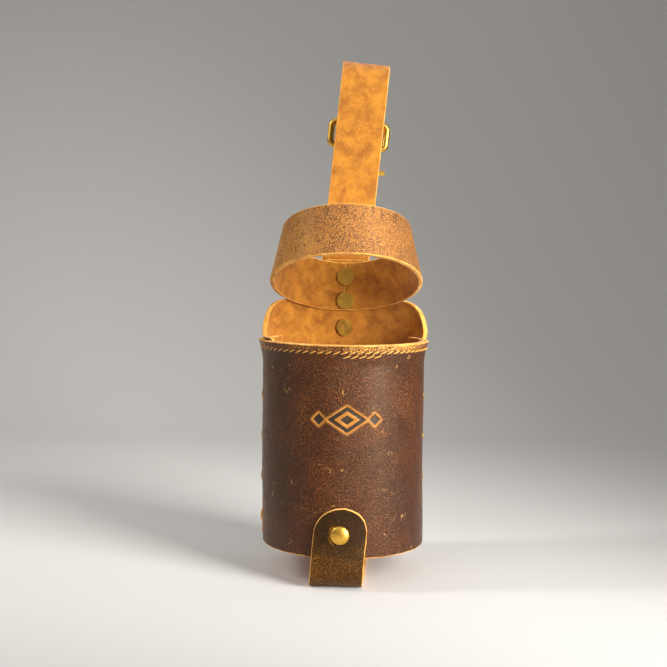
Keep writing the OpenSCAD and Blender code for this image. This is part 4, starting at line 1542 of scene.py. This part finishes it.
def seated_copies(tree: bpy.types.NodeTree, inputs: bpy.types.Node, form: object,
                  turn: object, scale: object) -> None:
    """Puts a copy of a form on each seat, faces it outwards and ends the tree.

    Args:
        tree: The geometry tree.
        inputs: Its input node.
        form: The node or socket that gives the form.
        turn: The node that gives a rotation applied to the form first.
        scale: The copy's scale, as a node or a constant.
    """
    facing = add(tree, "GeometryNodeInputNamedAttribute", {"Name": "facing"},
                 data_type="FLOAT_VECTOR")
    run = add(tree, "GeometryNodeInputNamedAttribute", {"Name": "run"}, data_type="FLOAT_VECTOR")
    up = add(tree, "FunctionNodeAlignRotationToVector", {"Vector": facing.outputs["Attribute"]},
             axis="Z")
    along = add(tree, "FunctionNodeAlignRotationToVector",
                {"Rotation": up, "Vector": run.outputs["Attribute"]},
                axis="X", pivot_axis="Z")
    both = add(tree, "FunctionNodeRotateRotation",
               {"Rotation": along, "Rotate By": turn}, rotation_space="LOCAL")
    copies = add(tree, "GeometryNodeInstanceOnPoints",
                 {"Points": inputs.outputs["Seats"], "Instance": form,
                  "Rotation": both, "Scale": scale})
    real = add(tree, "GeometryNodeRealizeInstances", {"Geometry": copies})
    smooth = add(tree, "GeometryNodeSetShadeSmooth", {0: real})
    finish = add(tree, "GeometryNodeSetMaterial",
                 {"Geometry": smooth, "Material": inputs.outputs["Material"]})
    add(tree, "NodeGroupOutput", {"Pieces": finish})


@dataclass
class Rivets:
    """The brass rivets: a domed cap with a rolled edge on each.

    A cap tips by up to tip, in radians.
    """

    side_count: int = 5
    side_margin: float = 9.0
    seam_margin: float = 5.6
    rear_heights: tuple[float, ...] = (119.8, 134.2, 147.0)
    rear_y: float = 45.45
    sides: int = 40
    tip: float = 0.02
    seed: int = 4

    def cap_form(self) -> bpy.types.Object:
        """Turns a unit cap on the lathe: radius 1 and height 1, with a rolled edge.

        Returns:
            The form, outside the scene.
        """
        # Radius and height, from the rolled edge up to the crown.
        profile = [(0.93, 0.0), (0.985, 0.06), (1.0, 0.17), (0.985, 0.29), (0.94, 0.40),
                   (0.86, 0.53), (0.74, 0.69), (0.58, 0.83), (0.38, 0.93), (0.18, 0.985)]
        verts = [(r * math.cos(a), r * math.sin(a), z) for r, z in profile
                 for a in (2 * math.pi * i / self.sides for i in range(self.sides))]
        top, under = len(verts), len(verts) + 1
        verts += [(0, 0, 1.0), (0, 0, 0)]
        faces: list[tuple[int, ...]] = []
        n = self.sides
        for j in range(len(profile) - 1):
            faces += [(j * n + i, j * n + (i + 1) % n, (j + 1) * n + (i + 1) % n, (j + 1) * n + i)
                      for i in range(n)]
        last = (len(profile) - 1) * n
        faces += [(last + i, last + (i + 1) % n, top) for i in range(n)]
        faces += [((i + 1) % n, i, under) for i in range(n)]
        mesh = bpy.data.meshes.new("cap_form")
        mesh.from_pydata(verts, [], faces)
        return bpy.data.objects.new("cap_form", mesh)

    def tree(self) -> bpy.types.NodeTree:
        """Builds the tree that seats a cap on each point, turned and tipped a little.

        Returns:
            The geometry tree.
        """
        tree = new_tree("Rivet caps", {
            "Cap form": ("NodeSocketObject", None), "Cap radius": ("NodeSocketFloat", CAP_R * MM),
            "Cap height": ("NodeSocketFloat", CAP_H * MM), "Tip": ("NodeSocketFloat", self.tip),
            "Seed": ("NodeSocketInt", self.seed), "Material": ("NodeSocketMaterial", None)})
        inputs = add(tree, "NodeGroupInput")
        form = add(tree, "GeometryNodeObjectInfo", {"Object": inputs.outputs["Cap form"]})
        least = add(tree, "ShaderNodeMath", {0: inputs.outputs["Tip"], 1: -1.0},
                    operation="MULTIPLY")
        low = add(tree, "ShaderNodeCombineXYZ", {0: least, 1: least, 2: -3.0})
        high = add(tree, "ShaderNodeCombineXYZ", {0: inputs.outputs["Tip"],
                                                  1: inputs.outputs["Tip"], 2: 3.0})
        tip = add(tree, "FunctionNodeRandomValue", {0: low, 1: high, 8: inputs.outputs["Seed"]},
                  data_type="FLOAT_VECTOR")
        turn = add(tree, "FunctionNodeEulerToRotation", {0: tip})
        scale = add(tree, "ShaderNodeCombineXYZ", {0: inputs.outputs["Cap radius"],
                                                   1: inputs.outputs["Cap radius"],
                                                   2: inputs.outputs["Cap height"]})
        seated_copies(tree, inputs, form.outputs["Geometry"], turn, scale)
        return tree

    def side_seats(self, sleeve: Sleeve) -> tuple[list[Vector], list[Vector]]:
        """Seats the rivets down the two side seams.

        Args:
            sleeve: The sleeve that they hold.

        Returns:
            Their places and facings.
        """
        step = (SLEEVE_TOP - SLEEVE_Z - 2 * self.side_margin) / (self.side_count - 1)
        turn = math.degrees(math.asin(self.seam_margin / BACK_R))
        places, facings = [], []
        for azimuth in (sleeve.seam_left - turn, sleeve.seam_right + turn):
            for i in range(self.side_count):
                z = SLEEVE_Z + self.side_margin + i * step
                places.append(around(azimuth, BACK_R + LAYER_GAP / 2, z))
                facings.append(around(azimuth, 1, 0))
        return places, facings

    def build(self, sleeve: Sleeve, hanger: HangerStrap) -> None:
        """Builds the caps, as one piece for each body.

        Args:
            sleeve: The sleeve that the side rivets hold.
            hanger: The strap whose fold the last rivet holds.
        """
        tree, form = self.tree(), self.cap_form()
        places, facings = self.side_seats(sleeve)
        places += [Vector((0, self.rear_y, z)) for z in self.rear_heights]
        facings += [Vector((0, 1, 0))] * len(self.rear_heights)
        over = LEATHER / 2 + LAYER_GAP / 2
        places += [around(STRAP_TURN, STRAP_FRONT_Y + over, STRAP_RIVET_Z),
                   around(180 + STRAP_TURN, STRAP_BACK_Y + over, STRAP_RIVET_Z)]
        facings += [around(STRAP_TURN, 1, 0), around(180 + STRAP_TURN, 1, 0)]
        out = hanger.place(0, 1, 0) - hanger.place(0, 0, 0)
        face = 2 * hanger.top_r + LEATHER / 2 + LAYER_GAP / 2
        loop = [hanger.place(0, face, hanger.rise - hanger.drop + hanger.tail
                             - hanger.rivet_margin)]
        groups = (("carrier_rivet_caps", places, facings, "carrier",
                   ("side_rivet_caps", "rear_rivet_caps", "strap_rivet_caps")),
                  ("fold_rivet_cap", loop, [out], "hanger", ("loop_rivet_cap",)))
        for name, spots, ways, body, nodes in groups:
            runs = [Vector((0, 0, 1))] * len(spots)
            points = seats(name + "_seats", spots, ways, runs)
            node_modifier(points, tree, {"Cap form": form, "Cap radius": CAP_R * MM,
                                         "Cap height": CAP_H * MM, "Tip": self.tip,
                                         "Seed": self.seed,
                                         "Material": WORKSHOP.material(Finish.BRASS)})
            dress(made_plain(points, name), body, "brass", *nodes)


@dataclass
class RimStitching:
    """The sewn rim: slanted stitches outside and inside, sewn over twice at the front.

    A stitch strays from its slant by up to wander, in radians.
    """

    length: float = 4.1
    thread: float = 0.64
    slant: float = 20.0
    second_count: int = 5
    second_drop: float = 1.9
    wander: float = 0.10
    seed: int = 11

    def tree(self) -> bpy.types.NodeTree:
        """Builds the tree that bends one stitch and seats it along the rim.

        Returns:
            The geometry tree.
        """
        tree = new_tree("Rim stitches", {
            "Stitch length": ("NodeSocketFloat", self.length * MM),
            "Thread": ("NodeSocketFloat", self.thread * MM),
            "Slant": ("NodeSocketFloat", math.radians(self.slant)),
            "Wander": ("NodeSocketFloat", self.wander), "Seed": ("NodeSocketInt", self.seed),
            "Material": ("NodeSocketMaterial", None)})
        inputs = add(tree, "NodeGroupInput")
        half = add(tree, "ShaderNodeMath", {0: inputs.outputs["Stitch length"], 1: 0.5},
                   operation="MULTIPLY")
        back = add(tree, "ShaderNodeMath", {0: half, 1: -1.0}, operation="MULTIPLY")
        deep = add(tree, "ShaderNodeMath", {0: inputs.outputs["Thread"], 1: -0.75},
                   operation="MULTIPLY")
        start = add(tree, "ShaderNodeCombineXYZ", {0: back, 2: deep})
        end = add(tree, "ShaderNodeCombineXYZ", {0: half, 2: deep})
        crest = add(tree, "ShaderNodeCombineXYZ", {2: inputs.outputs["Thread"]})
        line = add(tree, "GeometryNodeCurveQuadraticBezier",
                   {"Resolution": 7, "Start": start, "Middle": crest, "End": end})
        radius = add(tree, "ShaderNodeMath", {0: inputs.outputs["Thread"], 1: 0.5},
                     operation="MULTIPLY")
        section = add(tree, "GeometryNodeCurvePrimitiveCircle",
                      {"Resolution": 7, "Radius": radius})
        stitch = add(tree, "GeometryNodeCurveToMesh",
                     {"Curve": line, "Profile Curve": section, "Fill Caps": True})
        wander = add(tree, "ShaderNodeMath", {0: inputs.outputs["Wander"], 1: -1.0},
                     operation="MULTIPLY")
        stray = add(tree, "FunctionNodeRandomValue",
                    {2: wander, 3: inputs.outputs["Wander"], 8: inputs.outputs["Seed"]},
                    data_type="FLOAT")
        angle = add(tree, "ShaderNodeMath", {0: inputs.outputs["Slant"], 1: stray.outputs[1]},
                    operation="ADD")
        spin = add(tree, "ShaderNodeCombineXYZ", {2: angle})
        turn = add(tree, "FunctionNodeEulerToRotation", {0: spin})
        seated_copies(tree, inputs, stitch, turn, (1.0, 1.0, 1.0))
        return tree

    def seat(self, sleeve: Sleeve, azimuth: float, drop: float,
             outside: bool) -> tuple[Vector, Vector, Vector]:
        """Finds a stitch's seat on the leaning rim.

        Args:
            sleeve: The sleeve that is sewn.
            azimuth: Where along the rim the stitch lies.
            drop: How far below the rim's top it lies.
            outside: Whether it is on the front panel or on the lining.

        Returns:
            Its place, the way that it faces and the way that it runs.
        """
        def face(az: float, height: float) -> Vector:
            """Finds a point on the front panel's outer or the lining's inner face.

            Args:
                az: Round from the front.
                height: Above the floor.

            Returns:
                The point in the part's frame.
            """
            if outside:
                return sleeve.front_bend(math.radians(az) * sleeve.mid_r, height, LEATHER / 2)
            return sleeve.lining_bend(math.radians(az) * sleeve.lining_mid, height,
                                      -sleeve.lining / 2)

        z = SLEEVE_TOP - drop
        place = face(azimuth, z)
        run = (face(azimuth + 1, z) - face(azimuth - 1, z)).normalized()
        up = (face(azimuth, z + 1) - face(azimuth, z - 1)).normalized()
        facing = run.cross(up).normalized()
        if not outside:
            facing = -facing
        return place + facing * 0.1 * self.thread, facing, run

    def build(self, sleeve: Sleeve) -> None:
        """Builds all the stitches as one piece.

        Args:
            sleeve: The sleeve that is sewn.
        """
        step = math.degrees(STITCH_PITCH / sleeve.mid_r)
        count = int((RIM_REACH - step) / step)
        rows = [(i * step, STITCH_DROP, True) for i in range(-count, count + 1)]
        rows += [((i + 0.3) * step, STITCH_DROP + self.second_drop, True)
                 for i in range(self.second_count)]
        rows += [(i * step, STITCH_DROP, False) for i in range(-count, count + 1)]
        found = [self.seat(sleeve, *row) for row in rows]
        points = seats("stitch_seats", [f[0] for f in found], [f[1] for f in found],
                       [f[2] for f in found])
        node_modifier(points, self.tree(), {
            "Stitch length": self.length * MM, "Thread": self.thread * MM,
            "Slant": math.radians(self.slant), "Wander": self.wander, "Seed": self.seed,
            "Material": WORKSHOP.material(Finish.THREAD)})
        dress(made_plain(points, "rim_thread"), "carrier", "thread", "rim_stitches")


@dataclass
class SnapHook:
    """The swivel hook and the rivets' posts: CAD solids that keep their shape."""

    brass_nodes: tuple[str, ...] = ("hook_eye", "hook_body", "hook_gate", "gate_pin",
                                    "strap_rivet_posts", "side_rivet_posts",
                                    "rear_rivet_posts", "loop_rivet_post")
    steel_nodes: tuple[str, ...] = ("gate_spring",)

    def build(self) -> None:
        """Gives the hook's and the rivets' CAD solids their brass and steel."""
        for nodes, finish in ((self.brass_nodes, Finish.BRASS), (self.steel_nodes, Finish.STEEL)):
            for name in nodes:
                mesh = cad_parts[name].data
                mesh.materials.clear()
                mesh.materials.append(WORKSHOP.material(finish))
                log.info("%s: finished", name)


@dataclass(frozen=True)
class Softbox:
    """A soft lamp, with its place, its size, its power in watts and its spread."""

    name: str
    place: tuple[float, float, float]
    size: Point
    power: float
    spread: float = 180.0
    aim: tuple[float, float, float] = (0.0, 0.0, 110.0)

    def build(self) -> None:
        """Hangs the softbox at its place and aims it."""
        data = bpy.data.lights.new(self.name, "AREA")
        data.shape = "RECTANGLE"
        data.size, data.size_y = self.size[0] * MM, self.size[1] * MM
        data.energy = self.power
        data.spread = math.radians(self.spread)
        lamp = bpy.data.objects.new(self.name, data)
        lamp.location = Vector(self.place) * MM
        ahead = Vector(self.aim) - Vector(self.place)
        lamp.rotation_euler = ahead.to_track_quat("-Z", "Y").to_euler()
        bpy.context.scene.collection.objects.link(lamp)


@dataclass
class Studio:
    """The camera at the photograph's viewing angle, a pale floor and soft lights.

    focal_px is the focal length in pixels of a picture frame_px wide.
    """

    focal_px: float = 1180.0
    frame_px: float = 667.0
    eye: Vector = field(default_factory=lambda: Vector((-6.05, -590.0, 161.0)))
    pitch: float = 4.05
    roll: float = 0.75
    paper: str = "#D4D1CC"
    room_light: float = 0.2
    lamps: tuple[Softbox, ...] = (
        Softbox("right_softbox", (350, -325, 250), (240, 460), 1.5, spread=70.0),
        Softbox("left_softbox", (-550, -60, 500), (80, 300), 1.8),
        Softbox("front_softbox", (-420, -560, 840), (500, 400), 0.9),
        Softbox("top_softbox", (60, 100, 900), (700, 700), 1.7))

    def camera(self) -> None:
        """Sets the camera at the photograph's place and angle."""
        data = bpy.data.cameras.new("photo_camera")
        data.sensor_fit = "HORIZONTAL"
        data.sensor_width = 36.0
        data.lens = self.focal_px / self.frame_px * data.sensor_width
        data.clip_start, data.clip_end = 0.01, 20.0
        camera = bpy.data.objects.new("photo_camera", data)
        camera.location = self.eye * MM
        camera.rotation_euler = (Matrix.Rotation(math.radians(90 - self.pitch), 3, "X")
                                 @ Matrix.Rotation(math.radians(self.roll), 3, "Z")).to_euler()
        bpy.context.scene.collection.objects.link(camera)
        bpy.context.scene.camera = camera

    def floor(self) -> None:
        """Lays a pale floor that curves up into a backdrop far behind the part."""
        front, depth, width, radius, height = -1500.0, 900.0, 2600.0, 500.0, 1900.0
        rows = [(front, 0.0), (depth - radius, 0.0)]
        rows += [(depth - radius + radius * math.sin(a), radius - radius * math.cos(a))
                 for a in (math.pi / 2 * i / 16 for i in range(1, 17))]
        rows.append((depth, height))
        verts = [(x * MM, y * MM, z * MM) for y, z in rows for x in (-width, width)]
        faces = [(2 * i, 2 * i + 1, 2 * i + 3, 2 * i + 2) for i in range(len(rows) - 1)]
        mesh = bpy.data.meshes.new("studio_floor")
        mesh.from_pydata(verts, [], faces)
        mesh.polygons.foreach_set("use_smooth", [True] * len(faces))
        material, tree = new_material("Pale studio paper")
        # Matt card, whose tooth is about 1.4 mm wide.
        tooth = add(tree, "ShaderNodeTexNoise",
                    {"Vector": object_place(tree), "Scale": 0.7, "Detail": 3.0})
        bump = add(tree, "ShaderNodeBump", {"Strength": 0.08, "Distance": 0.2 * MM,
                                            "Height": tooth})
        finish_surface(tree, {"Base Color": srgb(self.paper), "Roughness": 0.85,
                              "Normal": bump})
        mesh.materials.append(material)
        floor = bpy.data.objects.new("studio_floor", mesh)
        bpy.context.scene.collection.objects.link(floor)

    def world(self) -> None:
        """Fills the room with an even, plain light."""
        world = bpy.data.worlds.new("studio_room")
        world.use_nodes = True
        tree = world.node_tree
        tree.nodes.clear()
        light = add(tree, "ShaderNodeBackground",
                    {"Color": (1, 1, 1, 1), "Strength": self.room_light})
        add(tree, "ShaderNodeOutputWorld", {"Surface": light})
        bpy.context.scene.world = world

    def build(self) -> None:
        """Builds the studio."""
        self.camera()
        self.floor()
        self.world()
        for lamp in self.lamps:
            lamp.build()
        bpy.context.scene.view_settings.view_transform = "Standard"


def main() -> None:
    """Builds the studio and each sub-assembly in order."""
    logging.basicConfig(level=logging.INFO, format="%(message)s")
    Studio().build()
    sleeve = Sleeve()
    hanger = HangerStrap()
    sleeve.build()
    RimStitching().build(sleeve)
    NeckBand().build()
    BaseStrap().build()
    hanger.build()
    Rivets().build(sleeve, hanger)
    SnapHook().build()


if __name__ == "__main__":
    main()
